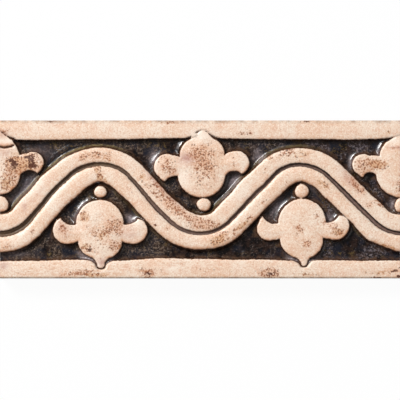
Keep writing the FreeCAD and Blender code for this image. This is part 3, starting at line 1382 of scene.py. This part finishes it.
@dataclass(frozen=True)
class Glaze:
    """Fired colours of the tile: peach satin on the relief, ink gloss in the recess, bare clay behind, and
    painted light and shade laid over them: highlights, sheen and shaded edges.
    """

    # Colours, written as they look
    cream: str = "EFD8C3"
    peach: str = "EAC7AC"
    pink: str = "E2B196"
    bare: str = "FBEEDF"
    tan: str = "CE9064"
    gold: str = "CB945A"
    rust: str = "955228"
    umber: str = "4A2012"
    blush: str = "B88A80"
    sienna: str = "6E3A1C"
    black: str = "080405"
    ink: str = "2A1B15"
    mauve: str = "6E5C4E"
    olive: str = "584628"
    slate: str = "1B1E29"
    haze: str = "A39496"
    wiped: str = "866A5E"
    ash: str = "9C8A80"
    amber: str = "82704E"
    bronze: str = "705842"
    lilac: str = "6E6468"
    peat: str = "543C2C"
    seam: str = "50301C"
    edge_brown: str = "66503F"
    clay: str = "CFB28E"
    clay_dark: str = "A88862"
    # Patches
    matt_patches: Cloud = Cloud(9.0, 2.0, 0.42, 0.55)
    wash: Cloud = Cloud(12.0, 3.0, 0.35, 0.65)
    pink_clouds: Cloud = Cloud(3.0, 4.0, 0.45, 0.75)
    edge_patches: Cloud = Cloud(1.6, 3.0, 0.3, 0.6)
    streak_places: Cloud = Cloud(9.0, 2.0, 0.4, 0.6)
    lumps: Cloud = Cloud(2.0, 4.0, 0.3, 0.7)
    mottle: Cloud = Cloud(1.9, 4.0, 0.4, 0.6, 0.6)
    cool: Cloud = Cloud(6.7, 3.0, 0.46, 0.58)
    veil: Cloud = Cloud(6.0, 3.0, 0.44, 0.6)
    milk: Cloud = Cloud(0.9, 3.0, 0.48, 0.64, 0.6)
    flecks: Cloud = Cloud(0.7, 3.0, 0.5, 0.64)
    drift: Cloud = Cloud(7.5, 3.0, 0.5, 0.64)
    motes: Cloud = Cloud(0.55, 2.0, 0.58, 0.7)
    runs: Cloud = Cloud(1.6, 4.0, 0.35, 0.6)
    edge_brown_patches: Cloud = Cloud(3.0, 4.0, 0.3, 0.7)
    clay_clouds: Cloud = Cloud(5.0, 4.0, 0.35, 0.7)
    grit: Cloud = Cloud(0.5, 2.0, 0.66, 0.74)
    # Finer noise: how far apart, and the values between which each mark fades in
    edge_pitch: float = 1.1
    clay_pitch: float = 2.2
    gloss_pitch: float = 1.4
    satin_pitch: float = 3.0
    grain_pitch: float = 0.6
    ripple_pitch: float = 0.9
    speck_pitch: float = 0.75
    wiped_pitch: float = 12.0
    streak: Point3 = (0.14, 1.0, 1.0)
    streak_pitch: float = 0.55
    streak_tan: Point = (0.54, 0.7)
    streak_bare: Point = (0.3, 0.42)
    fine_coats: tuple[Point, ...] = ((1.0, 0.3), (0.5, 0.5))
    fine_tan: Point = (0.5, 0.72)
    fine_bare: Point = (0.3, 0.5)
    grain_apart: float = 1.05
    grain_edge: Point = (0.2, 0.42)
    grain_fade: float = 0.15
    stain_span: Point = (0.03, 1.4)
    flake_span: Point = (0.62, 0.68)
    soot_span: Point = (0.74, 0.9)
    soot_from: Point = (0.05, 0.4)
    # Distances inside the rim of the relief, below 0 outside it
    edge_waver: float = 0.5
    relief_edge: Point = (-0.05, 0.1)
    thin_wall: Point = (-1.5, -1.2)
    worn_and_shade_edge: Point = (0.05, 0.25)
    seam_edge: Point = (-0.6, -0.2)
    highlight_start: Point = (0.05, 0.3)
    highlight_end: Point = (0.3, 0.8)
    shade_flush_edge: Point = (0.2, 1.7)
    brown_foot: Point = (-2.4, -0.6)
    rill_start: Point = (-2.5, -2.1)
    rill_end: Point = (-1.65, -1.35)
    haze_and_sheen_edge: Point = (-0.35, -0.1)
    groove_floor: Point = (0.02, 0.25)
    groove_lip: Point = (-0.7, -0.4)
    matt_edge: Point = (-2.3, -1.8)
    foot_edge: Point = (-3.4, -1.8)
    # Distance down the sides at which the glaze gives way to clay
    clay_waver: float = 2.4
    clay_line: Point = (1.6, 2.3)
    # Surface
    bump: float = 0.6
    bump_depth: float = 0.1
    ior: float = 1.5
    gloss_rough: Point = (0.08, 0.18)
    film_rough: float = 0.3
    groove_rough: float = 0.5
    satin_rough: Point = (0.3, 0.16)
    clay_rough: float = 0.85
    # Places across and along the tile
    rail_edge: Point = (22.0, 22.8)
    low_rail: Point = (23.5, 25.0)
    upper_edge: Point = (28.4, 29.8)
    lower_edge: Point = (29.2, 29.8)
    end_edge: Point = (75.8, 76.15)
    lilac_side: Point = (0.0, 50.0)
    wiped_waver: float = 40.0
    wiped_side: Point = (-20.0, 10.0)
    dark_right: Point = (22.0, 36.0)
    dark_left_start: Point = (-34.0, -26.0)
    dark_left_end: Point = (-8.0, 0.0)

    def material(self) -> bpy.types.Material:
        """Build the tile's material.

        Returns:
            The material.
        """
        made = bpy.data.materials.new("border_tile_glaze")
        bench = GlazeTree(emptied(made))
        waver = (bench.noise(bench.spot, self.edge_pitch, 2.0) - 0.5) * self.edge_waver
        edge = bench.layer("rim") + waver
        relief = bench.ramp(edge, *self.relief_edge)
        waver = (bench.noise(bench.spot, self.clay_pitch, 3.0) - 0.5) * self.clay_waver
        clay = bench.ramp(bench.layer("depth") + waver, *self.clay_line)
        finish = {
            "Base Color": bench.layered(
                self.pool(bench, edge),
                (relief, self.satin(bench, edge)),
                (self.darker_edges(bench), self.edge_brown),
                (clay, self.biscuit(bench)),
            ),
            "Roughness": self.roughness(bench, edge, relief, clay),
            "Normal": self.pitted(bench, edge, relief, clay),
            "IOR": self.ior,
        }
        shader = bench.wire("ShaderNodeBsdfPrincipled", {}, finish)
        bench.add("ShaderNodeOutputMaterial", {}, {"Surface": shader})
        return made

    def roughness(self, bench: GlazeTree, edge: Wire, relief: Wire, clay: Wire) -> Wire:
        """Roughness of gloss, film, satin and bare clay.

        Args:
            bench: The material's bench.
            edge: How far inside the rim of the relief a point lies.
            relief: Share of the relief.
            clay: Share of the bare clay.

        Returns:
            The roughness.
        """
        smooth, uneven = self.gloss_rough
        gloss = smooth + bench.noise(bench.spot, self.gloss_pitch, 2.0) * uneven
        gloss = gloss + bench.film() * (self.film_rough - gloss)
        gloss = gloss + bench.layer("groove") * (self.groove_rough - gloss)
        matt = bench.ramp(edge, *self.matt_edge) * bench.layer("thin") * bench.patches(self.matt_patches)
        gloss = gloss + matt * (self.groove_rough - gloss)
        smooth, uneven = self.satin_rough
        satin = smooth + bench.noise(bench.spot, self.satin_pitch, 3.0) * uneven
        rough = gloss + relief * (satin - gloss)
        return rough + clay * (self.clay_rough - rough)

    def pitted(self, bench: GlazeTree, edge: Wire, relief: Wire, clay: Wire) -> Wire:
        """Fine grain of the surface, and the ripple of the pooled glaze.

        Args:
            bench: The material's bench.
            edge: How far inside the rim of the relief a point lies.
            relief: Share of the relief.
            clay: Share of the bare clay.

        Returns:
            The bumped normal.
        """
        foot = bench.ramp(edge, *self.foot_edge) * (1 - relief)
        grain = bench.noise(bench.spot, self.grain_pitch, 3.0) * (0.4 + 0.4 * clay - foot * 0.3)
        ripple = bench.noise(bench.spot, self.ripple_pitch, 3.0) * (1 - relief) * (1.2 - foot)
        bumps = {"Strength": self.bump, "Distance": self.bump_depth * MM, "Height": grain + ripple}
        return bench.wire("ShaderNodeBump", {}, bumps, "Normal")

    def grains(self, bench: GlazeTree, share: Wire) -> Wire:
        """Scatter round grains.

        Args:
            bench: The material's bench.
            share: Share of the places that hold a grain.

        Returns:
            1 in the middle of a grain, 0 outside.
        """
        settings = {"feature": "F1", "voronoi_dimensions": "2D"}
        places = {"Vector": bench.spot, "Scale": 1 / self.grain_apart}
        cells = bench.add("ShaderNodeTexVoronoi", settings, places)
        shade = Wire(bench, cells.outputs["Color"])
        chance = bench.wire("ShaderNodeSeparateColor", {}, {"Color": shade}, "Red")
        dot = 1 - bench.ramp(Wire(bench, cells.outputs["Distance"]), *self.grain_edge)
        return dot * bench.ramp(share - chance, 0.0, self.grain_fade)

    def satin(self, bench: GlazeTree, edge: Wire) -> Wire:
        """Colour of the peach glaze with its iron specks, a painted highlight on the rims that face the
        light and painted shade on the rims that face away.

        Args:
            bench: The material's bench.
            edge: How far inside the rim of the relief a point lies.

        Returns:
            The colour.
        """
        colour = bench.layered(
            self.cream,
            (bench.patches(self.wash), self.peach),
            (bench.patches(self.pink_clouds) * 0.35, self.pink),
        )
        for pitch, share in self.fine_coats:
            fine = bench.noise(bench.spot, pitch, 3.0, 0.7)
            dark = bench.ramp(fine, *self.fine_tan) * share
            pale = (1 - bench.ramp(fine, *self.fine_bare)) * share * 1.3
            colour = bench.layered(colour, (dark, self.tan), (pale, self.bare))
        colour = self.rusted(bench, self.streaked(bench, colour))
        across = abs(bench.axis(bench.spot, "Y"))
        # Shade side, damped on the rails and in the groove: where the satin gets painted shade.
        lee = bench.layer("lee") * (1 - bench.ramp(across, *self.rail_edge) * 0.7)
        lee = lee * (1 - bench.layer("groove") * 0.8)
        # Painted highlight: a pale line just inside the rims, kept off the shade side.
        thin = bench.ramp(edge, *self.highlight_start) * (1 - bench.ramp(edge, *self.highlight_end)) * (1 - lee)
        patches = bench.patches(self.edge_patches)
        # Painted shade: a tan flush inside the rims on the shade side.
        shade_flush = (1 - bench.ramp(edge, *self.shade_flush_edge)) * lee * (0.3 + patches * 0.7)
        # Sienna line inside the rims: faint everywhere as wear, wider and stronger on the shade side as
        # painted shade.
        start, end = self.worn_and_shade_edge
        worn = (1 - bench.ramp(edge, start, end + lee * 0.3)) * (0.12 + lee * 0.6) * (0.4 + patches * 0.6)
        return bench.layered(colour, (thin * 0.15, self.bare), (shade_flush * 0.7, self.tan), (worn, self.sienna))

    def streaked(self, bench: GlazeTree, colour: Wire) -> Wire:
        """Draw pale and tan streaks along the lower rail.

        Args:
            bench: The material's bench.
            colour: The glaze without streaks.

        Returns:
            The colour with streaks.
        """
        low = bench.ramp(-bench.axis(bench.spot, "Y"), *self.low_rail)
        drag = bench.noise(bench.vector("MULTIPLY", bench.spot, self.streak), self.streak_pitch, 3.0, 0.6)
        here = bench.patches(self.streak_places) * low
        dark = bench.ramp(drag, *self.streak_tan) * here * 0.6
        pale = (1 - bench.ramp(drag, *self.streak_bare)) * here * 0.7
        return bench.layered(colour, (dark, self.tan), (pale, self.bare))

    def rusted(self, bench: GlazeTree, colour: Wire) -> Wire:
        """Scatter iron specks where the skin carries stains, with the pale clouds that paint highlights and
        sheen.

        Args:
            bench: The material's bench.
            colour: The glaze without specks.

        Returns:
            The colour with specks.
        """
        lump = bench.patches(self.lumps)
        specks = (tone for tone in Tone if tone is not Tone.HAZE)
        rust, ochre, umber, blush, pale = (bench.layer(tone.value) for tone in specks)
        gilt = bench.ramp(ochre * (0.5 + lump), *self.stain_span)
        warm = bench.ramp((rust + umber) * (0.5 + lump), *self.stain_span)
        iron = bench.least((rust + ochre + umber) * (0.5 + lump * 0.8), 1.0)
        speck = bench.noise(bench.spot, self.speck_pitch, 3.0, 0.7)
        flakes = bench.ramp(speck + iron * 0.13, *self.flake_span)
        soot = bench.ramp(umber * (0.2 + lump * 0.25) + speck, *self.soot_span)
        soot = soot * bench.ramp(umber, *self.soot_from)
        return bench.layered(
            colour,
            # Pale clouds: wiped glaze in places, painted highlights and sheen in others.
            (pale * (0.6 + lump * 0.3), self.bare),
            (blush * (0.4 + lump * 0.4), self.blush),
            (gilt * 0.5, self.gold),
            (warm * 0.36, self.tan),
            (flakes * (0.35 + iron * 0.5), self.rust),
            (self.grains(bench, iron * 0.34 + 0.04) * (0.5 + iron * 0.3), self.sienna),
            (soot * 0.9, self.umber),
        )

    def pool(self, bench: GlazeTree, edge: Wire) -> Wire:
        """Colour of the ink glaze: mottled where it is deep, amber where it runs thin over a wall that faces
        the light, as painted light, and kept dark on walls that face away.

        Args:
            bench: The material's bench.
            edge: How far inside the rim of the relief a point lies.

        Returns:
            The colour.
        """
        thin, groove, lee = bench.layer("thin"), bench.layer("groove"), bench.layer("lee")
        along = bench.axis(bench.spot, "X")
        # Painted light: amber only on the ribbon's walls that face the light.
        wall = bench.ramp(edge, *self.thin_wall) * thin
        cloud = bench.patches(self.mottle)
        veil = bench.patches(self.veil)
        milk = bench.patches(self.milk)
        milky = bench.blend(bench.ramp(along, *self.lilac_side), self.mauve, self.lilac)
        flecks = bench.patches(self.flecks) * bench.patches(self.drift)
        # Brown thin glaze near the rims, held back on the shade side so that the recess there stays black as
        # painted shadow.
        brown = bench.ramp(edge, *self.brown_foot) * (1 - wall) * (0.1 + cloud * 0.7) * (1 - lee * 0.6)
        rill = bench.ramp(edge, *self.rill_start) * (1 - bench.ramp(edge, *self.rill_end)) * thin
        run = 0.3 + 0.7 * bench.patches(self.runs)
        start, end = self.seam_edge
        seam = bench.ramp(edge, start - thin * 0.3, end - thin * 0.3) * (0.85 - groove * 0.35)
        # Painted sheen: pale grey patches over the pooled glaze beside the walls, standing in for
        # reflections; the same patches roughen the glaze.
        haze = bench.film() * (0.45 + milk * 0.5) * (1 - bench.ramp(edge, *self.haze_and_sheen_edge))
        wander = bench.noise(bench.spot, self.wiped_pitch, 2.0) * self.wiped_waver
        wiped = bench.blend(bench.ramp(along + wander, *self.wiped_side), self.bronze, self.wiped)
        middle = groove * bench.ramp(-edge, *self.groove_floor)
        return bench.layered(
            self.black,
            (cloud, self.ink),
            (bench.patches(self.cool) * 0.7, self.slate),
            (veil * (0.08 + milk * 0.87), milky),
            (flecks, self.olive),
            (bench.patches(self.motes) * (0.15 + veil * 0.4), self.ash),
            (brown, self.peat),
            (rill * 0.8, self.black),
            (wall * run, self.amber),
            (seam, self.seam),
            (haze, self.haze),
            (middle * (0.6 + milk * 0.4), wiped),
            (groove * bench.ramp(edge, *self.groove_lip) * self.dark_lips(bench, along), self.black),
        )

    def dark_lips(self, bench: GlazeTree, along: Wire) -> Wire:
        """Share of the dark line at the groove's lips, which only some stretches of the border have.

        Args:
            bench: The material's bench.
            along: Place along the border.

        Returns:
            The share.
        """
        down = bench.layer("down")
        right = bench.ramp(along, *self.dark_right) * (0.35 + down * 0.5)
        left = bench.ramp(along, *self.dark_left_start) * (1 - bench.ramp(along, *self.dark_left_end))
        return left * (1 - down) * 0.45 + right

    def darker_edges(self, bench: GlazeTree) -> Wire:
        """Darker brown along the tile's outer edges, reaching further in along the upper long edge.

        Args:
            bench: The material's bench.

        Returns:
            Share of dirt.
        """
        along = abs(bench.axis(bench.spot, "X"))
        across = bench.axis(bench.spot, "Y")
        patches = bench.patches(self.edge_brown_patches)
        long_edges = bench.most(bench.ramp(across, *self.upper_edge), bench.ramp(-across, *self.lower_edge))
        edge = bench.most(long_edges, bench.ramp(along, *self.end_edge))
        return edge * (0.15 + patches * 0.45)

    def biscuit(self, bench: GlazeTree) -> Wire:
        """Colour of the bare clay."""
        cloud, grit = bench.patches(self.clay_clouds) * 0.6, bench.patches(self.grit) * 0.6
        return bench.layered(self.clay, (cloud, self.clay_dark), (grit, self.sienna))


STAINS: dict[Tone, tuple[Stain, ...]] = {
    Tone.RUST: (
        Stain(-71.0, 9.6, 3.1, 3.1, 0.9), Stain(-45.2, 16.0, 1.6, 1.2, 1.5, 30.0),
        Stain(-40.5, 16.8, 4.4, 1.6, 1.0), Stain(-34.8, 16.0, 1.6, 1.8, 1.3, -30.0),
        Stain(-51.8, -11.4, 2.3, 3.4, 1.1), Stain(-32.4, -9.0, 3.4, 2.2, 1.3),
        Stain(-30.8, -12.4, 2.3, 1.8, 1.1), Stain(-34.4, -11.6, 2.1, 1.6, 0.9),
        Stain(-40.4, -12.2, 1.3, 1.2, 0.9), Stain(-32.0, -17.4, 2.6, 1.8, 1.2),
        Stain(-63.7, -12.3, 0.8, 0.8, 1.8), Stain(-73.2, -17.9, 3.1, 1.2, 0.8),
        Stain(-47.0, -28.0, 5.5, 1.0, 1.6, 6.0), Stain(-68.0, -28.0, 2.6, 1.0, 0.6),
        Stain(-20.0, -28.0, 2.0, 1.4, 2.2), Stain(-18.6, -26.8, 4.7, 0.7, 0.8, -4.0),
        Stain(-8.0, -24.3, 1.4, 0.7, 0.9), Stain(-26.4, 3.6, 2.1, 0.9, 0.7, -46.0),
        Stain(-13.4, 2.4, 5.7, 1.7, 1.5, -46.0), Stain(-11.2, -2.2, 3.9, 1.6, 1.3, -46.0),
        Stain(-17.4, 2.6, 4.7, 1.2, 0.9, -46.0), Stain(-6.8, -5.8, 3.1, 1.4, 1.1, -36.0),
        Stain(-1.0, -8.6, 3.8, 2.2, 2.0, -12.0), Stain(3.6, -9.9, 4.2, 1.7, 2.2, -6.0),
        Stain(-1.8, -10.2, 2.3, 0.9, 1.1), Stain(1.4, 13.0, 5.5, 8.3, 0.6),
        Stain(1.8, 17.6, 3.4, 2.6, 0.8), Stain(3.4, 12.6, 2.3, 2.9, 0.8),
        Stain(-2.4, 18.6, 1.7, 1.7, 0.9), Stain(-12.6, 12.8, 3.1, 3.0, 1.5),
        Stain(-10.4, 11.2, 1.6, 1.2, 1.1), Stain(12.8, 12.6, 0.4, 1.7, 1.5),
        Stain(9.0, 17.4, 1.3, 0.9, 1.1), Stain(-11.8, 29.1, 3.1, 0.5, 1.6),
        Stain(15.6, 25.0, 1.3, 0.8, 1.5), Stain(18.4, 25.0, 1.8, 0.9, 1.3),
        Stain(32.6, 17.6, 3.6, 1.8, 1.3, 18.0), Stain(25.2, 11.4, 1.0, 1.6, 0.9),
        Stain(33.0, 6.6, 0.9, 0.7, 1.5), Stain(58.6, 6.6, 4.4, 1.7, 1.2, -46.0),
        Stain(61.2, 3.4, 1.6, 1.2, 1.6, -46.0), Stain(62.4, 12.9, 2.6, 2.7, 2.2),
        Stain(66.8, 13.2, 3.6, 1.5, 1.1), Stain(74.6, 19.6, 3.2, 0.5, 0.9),
        Stain(76.0, 5.0, 1.8, 3.9, 1.1), Stain(8.6, -13.2, 1.6, 1.0, 1.0),
        Stain(13.4, -12.2, 1.3, 1.7, 1.4), Stain(19.0, -6.8, 1.3, 0.8, 1.7, 20.0),
        Stain(23.4, -1.4, 2.6, 1.2, 0.8, 40.0), Stain(-12.8, -11.4, 1.3, 1.0, 0.7),
        Stain(26.6, -27.8, 3.2, 1.6, 2.0), Stain(23.6, -27.8, 1.6, 0.9, 1.1),
        Stain(37.6, -11.6, 1.7, 1.8, 1.8), Stain(40.4, -16.9, 2.5, 1.7, 1.5),
        Stain(44.0, -6.2, 1.2, 1.0, 1.7), Stain(50.2, -10.4, 2.1, 1.7, 1.2),
        Stain(47.8, -8.7, 1.3, 0.8, 1.4), Stain(64.0, -2.0, 1.2, 1.0, 1.4),
        Stain(68.2, -1.6, 2.1, 0.9, 1.5, -40.0), Stain(1.0, 10.0, 5.4, 7.4, 0.35, 20.0),
        Stain(-1.0, 16.4, 3.6, 3.0, 0.4), Stain(-72.0, 9.0, 4.0, 5.0, 0.8),
        Stain(-74.6, 25.6, 2.0, 1.4, 1.0), Stain(-14.8, 4.2, 6.0, 1.2, 0.8, -47.0),
        Stain(-8.6, -2.2, 4.0, 1.2, 0.8, -42.0), Stain(-39.0, -13.0, 7.0, 5.0, 0.3),
        Stain(-36.0, -18.5, 5.0, 2.2, 0.35), Stain(0.0, -26.4, 9.0, 1.0, 0.35),
    ),
    Tone.OCHRE: (
        Stain(-66.5, 14.2, 6.0, 3.1, 1.1), Stain(-73.3, 6.4, 2.9, 2.9, 1.5),
        Stain(-38.8, 11.4, 1.6, 1.3, 1.6), Stain(-38.4, 8.6, 1.3, 1.4, 1.6),
        Stain(-36.4, 7.6, 1.4, 0.9, 1.1, -30.0), Stain(-44.0, -6.5, 1.8, 1.8, 1.7),
        Stain(-37.2, -13.6, 2.3, 2.1, 1.0), Stain(-43.6, -18.2, 2.1, 1.6, 1.2),
        Stain(-39.8, -28.6, 4.4, 0.9, 1.4), Stain(-21.9, 8.3, 1.0, 1.2, 1.3),
        Stain(-20.0, 5.4, 0.9, 1.0, 1.1), Stain(26.6, 15.9, 1.3, 0.8, 2.0, 20.0),
        Stain(38.0, 17.2, 3.9, 1.8, 0.9), Stain(46.8, 5.8, 3.1, 1.7, 1.0, -46.0),
        Stain(67.2, 13.3, 3.4, 1.6, 2.0), Stain(71.6, 25.3, 1.0, 0.7, 0.9),
        Stain(7.2, -15.3, 3.0, 2.1, 1.7, 15.0), Stain(16.0, -9.9, 2.6, 0.9, 1.4, 40.0),
        Stain(40.8, -28.5, 3.6, 0.7, 1.3), Stain(67.5, -28.0, 4.2, 0.7, 0.9),
        Stain(52.4, -12.4, 2.0, 1.4, 1.7), Stain(71.2, -18.0, 3.1, 0.8, 1.5, -12.0),
        Stain(-68.0, 13.6, 5.0, 3.0, 0.7),
    ),
    Tone.UMBER: (
        Stain(-70.5, 13.0, 2.1, 1.7, 1.7), Stain(-72.3, 15.2, 2.0, 0.9, 1.1, -20.0),
        Stain(-63.6, 12.6, 2.0, 1.0, 1.8), Stain(-63.6, 15.3, 2.2, 2.0, 1.2),
        Stain(-67.2, 16.0, 2.6, 0.7, 1.0), Stain(-73.0, 4.2, 1.6, 0.7, 0.9),
        Stain(-38.6, 17.0, 0.8, 0.7, 1.2), Stain(-41.2, 12.1, 0.5, 0.5, 1.3),
        Stain(-42.0, -19.0, 1.2, 0.9, 1.7), Stain(-19.9, -28.3, 1.4, 1.0, 1.6),
        Stain(12.8, 15.8, 0.5, 0.4, 1.2), Stain(32.9, 18.7, 0.9, 0.5, 1.4),
        Stain(61.9, 13.0, 1.9, 1.8, 0.9), Stain(0.0, -22.6, 24.0, 0.4, 0.8),
        Stain(60.0, -22.8, 18.0, 0.4, 0.8), Stain(-17.0, -9.8, 0.7, 0.5, 1.2),
        Stain(26.9, -28.3, 2.2, 1.0, 1.4), Stain(75.4, -29.2, 0.7, 0.5, 2.4),
        Stain(74.0, -27.1, 2.1, 0.7, 1.1, 8.0), Stain(75.7, -26.0, 0.7, 0.7, 1.2),
        Stain(67.6, -29.8, 2.9, 0.4, 1.4), Stain(41.0, 29.5, 3.6, 0.4, 1.0),
        Stain(-75.2, 26.0, 1.4, 0.5, 0.8, -30.0), Stain(-57.4, 29.5, 2.6, 0.4, 0.9),
    ),
    Tone.BLUSH: (
        Stain(-74.8, 24.9, 2.1, 1.4, 1.1), Stain(-74.5, 17.6, 3.4, 2.3, 0.6),
        Stain(-51.6, -11.2, 2.6, 3.4, 0.6), Stain(-27.2, -13.0, 3.4, 2.9, 0.55),
        Stain(-37.3, -23.9, 1.7, 1.4, 1.1), Stain(-66.6, -2.6, 1.0, 1.8, 0.7),
        Stain(-74.8, -25.0, 2.1, 1.8, 0.9), Stain(-4.8, 15.4, 2.9, 2.3, 1.3),
        Stain(57.0, 7.8, 4.7, 2.0, 0.8, -46.0), Stain(74.8, 19.7, 3.2, 0.5, 0.9),
        # The long cloud at -16.2, 5.9 along the falling band's upper-right edge is painted shade.
        Stain(-16.2, 5.9, 5.5, 0.9, 1.1, -47.0), Stain(-9.6, -1.0, 3.5, 0.8, 0.9, -40.0),
        Stain(-61.2, 2.4, 7.0, 0.8, 0.3, 47.0),
    ),
    # Pale: wiped glaze at the tips, and painted highlights and sheen: the long streaks on the rising bands,
    # the thin line at the left end and small pale spots on rims.
    Tone.PALE: (
        Stain(0.2, 24.4, 5.0, 2.2, 0.8), Stain(73.4, 22.6, 3.0, 1.4, 0.8),
        Stain(-73.8, 22.4, 3.0, 1.0, 0.7), Stain(-23.4, -8.6, 1.5, 1.5, 0.8),
        Stain(52.4, -7.4, 1.6, 1.2, 0.9), Stain(-16.6, 13.8, 0.8, 2.6, 0.8),
        Stain(-75.7, 7.6, 0.3, 6.0, 0.9), Stain(-5.6, 8.0, 2.6, 4.4, 0.5, 20.0),
        Stain(-38.6, -24.9, 0.9, 1.2, 0.8), Stain(-10.6, -26.2, 3.0, 0.6, 0.8, 12.0),
        Stain(-62.6, 3.6, 7.0, 0.8, 0.7, 47.0), Stain(16.0, 2.6, 7.0, 1.2, 0.3, 45.0),
    ),
    # Milky film in the recess, whose pale colour is painted sheen beside the walls.
    Tone.HAZE: (
        Stain(12.6, 6.8, 2.8, 1.6, 1.1, 50.0), Stain(-26.4, -7.4, 2.0, 1.5, 1.1, -30.0),
        Stain(48.6, -7.0, 1.8, 1.5, 1.0), Stain(-44.6, -21.2, 2.2, 1.1, 0.9, -30.0),
        Stain(-17.4, 15.6, 1.8, 2.8, 0.9), Stain(29.0, -2.6, 3.4, 1.3, 1.1, 51.0),
        Stain(-45.2, -4.0, 3.6, 1.1, 0.9, 56.0), Stain(22.6, 16.4, 2.0, 0.9, 1.0, 20.0),
        Stain(-70.5, -20.6, 4.8, 0.8, 0.7), Stain(57.2, 14.0, 1.0, 2.6, 0.7),
        Stain(-67.2, 4.4, 6.5, 2.2, 0.55, 45.0), Stain(-60.0, 18.0, 6.0, 2.4, 0.3),
        Stain(-42.2, -22.2, 2.4, 0.9, 1.0, -40.0), Stain(-33.4, -22.5, 2.4, 0.8, 0.9, 35.0),
        Stain(34.8, -22.3, 2.2, 0.8, 1.0, -28.0), Stain(42.8, -22.9, 2.6, 0.8, 1.0, 28.0),
        Stain(68.0, 18.0, 0.9, 2.0, 0.7), Stain(73.0, -1.6, 0.9, 1.8, 0.8),
        Stain(42.5, 5.0, 1.2, 2.4, 0.5, 30.0), Stain(21.6, 18.4, 1.4, 0.8, 0.7, 40.0),
        Stain(23.6, 14.2, 1.0, 1.6, 0.7, 30.0), Stain(9.6, 1.4, 0.8, 2.2, 0.8, -40.0),
    ),
}


@dataclass
class Tile:
    """The finished tile."""

    skin: Skin = field(default_factory=Skin)
    glaze: Glaze = field(default_factory=Glaze)
    stains: dict[Tone, tuple[Stain, ...]] = field(default_factory=lambda: STAINS)

    def stain(self, mesh: bpy.types.Mesh) -> None:
        """Write the strength of each tone onto the skin.

        Args:
            mesh: The closed skin, which gets one value a tone at each point.
        """
        places = np.empty(len(mesh.vertices) * 3, np.float32)
        mesh.vertices.foreach_get("co", places)
        face = places.reshape(-1, 3)[:, :2] / MM
        for tone in Tone:
            total = sum((stain.spread(face) for stain in self.stains[tone]), np.zeros(len(face)))
            layer = mesh.attributes.new(tone.value, "FLOAT", "POINT")
            layer.data.foreach_set("value", total.astype(np.float32))

    def build(self) -> bpy.types.Object:
        """Make the tile and seat it on its body.

        Returns:
            The tile's object.
        """
        mesh = self.skin.relief(self.glaze.material())
        self.skin.close(mesh)
        self.stain(mesh)
        mesh.name = "border_tile_skin"
        piece = linked("border_tile_skin", mesh)
        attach(piece, "root")
        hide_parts("border_tile")
        return piece


@dataclass(frozen=True)
class Lamp:
    """A soft square lamp that faces the tile: its place and side in metres, and its power in watts."""

    name: str
    place: Point3
    size: float
    power: float
    tint: Point3 = (1.0, 1.0, 1.0)

    def hang(self) -> None:
        """Put the lamp into the scene."""
        data = bpy.data.lights.new(self.name, "AREA")
        data.size = self.size
        data.energy = self.power
        data.color = self.tint
        lamp = linked(self.name, data)
        lamp.location = self.place
        lamp.rotation_euler = (-Vector(self.place)).to_track_quat("-Z", "Y").to_euler()


@dataclass
class Studio:
    """A white floor, soft light from the upper left, and a camera that looks straight down."""

    lamps: tuple[Lamp, ...] = (
        Lamp("key_lamp", (-1.08, 0.96, 1.50), 0.6, 48.5),
        Lamp("window_lamp", (-0.30, 0.28, 0.80), 0.22, 1.0, (0.86, 0.93, 1.0)),
        Lamp("fill_lamp", (0.60, -0.20, 0.45), 0.5, 0.4),
    )
    paint: float = 0.85
    floor_white: float = 0.96
    floor_size: float = 3.0
    floor_drop: float = 0.0001
    view_height: float = 2.5
    view_plane: float = 0.0112
    view_width: float = 0.1519
    view_drop: float = -0.00021
    sensor: float = 36.0
    clip: Point = (0.01, 20.0)
    sky: float = 0.14

    def camera(self) -> None:
        """Set a long lens above the tile, so that its length fills the picture."""
        data = bpy.data.cameras.new("camera")
        data.sensor_width = self.sensor
        data.lens = self.sensor * self.view_height / self.view_width
        data.clip_start, data.clip_end = self.clip
        camera = linked("camera", data)
        camera.location = (0, self.view_drop, self.view_height + self.view_plane)
        bpy.context.scene.camera = camera

    def floor(self) -> None:
        """Lay a white floor that still takes the tile's shadow."""
        made = bpy.data.materials.new("studio_white")
        bench = Bench(emptied(made))
        path = bench.add("ShaderNodeLightPath", {}, {})
        seen = Wire(bench, path.outputs["Is Camera Ray"]) + Wire(bench, path.outputs["Is Glossy Ray"])
        seen = bench.least(seen + Wire(bench, path.outputs["Is Transmission Ray"]), 1.0)
        paint = bench.wire("ShaderNodeBsdfDiffuse", {}, {"Color": (self.paint, self.paint, self.paint, 1.0)})
        glow = bench.wire("ShaderNodeEmission", {}, {"Color": WHITE, "Strength": 1.0})
        mixed = bench.wire("ShaderNodeMixShader", {}, {"Fac": seen * self.floor_white, 1: paint, 2: glow})
        bench.add("ShaderNodeOutputMaterial", {}, {"Surface": mixed})
        half = self.floor_size / 2
        mesh = bpy.data.meshes.new("floor")
        corners = [(x * half, y * half, -self.floor_drop) for x, y in ((-1, -1), (1, -1), (1, 1), (-1, 1))]
        mesh.from_pydata(corners, [], [(0, 1, 2, 3)])
        mesh.materials.append(made)
        linked("floor", mesh)

    def sky_light(self) -> None:
        """Fill the room with even light, and show it as white."""
        world = bpy.data.worlds.new("studio")
        bench = Bench(emptied(world))
        seen = Wire(bench, bench.add("ShaderNodeLightPath", {}, {}).outputs["Is Camera Ray"])
        strength = self.sky + seen * (1.0 - self.sky)
        light = bench.wire("ShaderNodeBackground", {}, {"Color": WHITE, "Strength": strength})
        bench.add("ShaderNodeOutputWorld", {}, {"Surface": light})
        bpy.context.scene.world = world

    def build(self) -> None:
        """Set up floor, light and camera."""
        self.floor()
        self.sky_light()
        for lamp in self.lamps:
            lamp.hang()
        self.camera()
        bpy.context.scene.view_settings.view_transform = "Standard"


def main() -> None:
    """Build the tile and its studio."""
    logging.basicConfig(level=logging.INFO)
    piece = Tile().build()
    LOG.info("%s: %d points, %d faces", piece.name, len(piece.data.vertices), len(piece.data.polygons))
    Studio().build()
    LOG.info("studio: floor, lamps and camera")


if __name__ == "__main__":
    main()
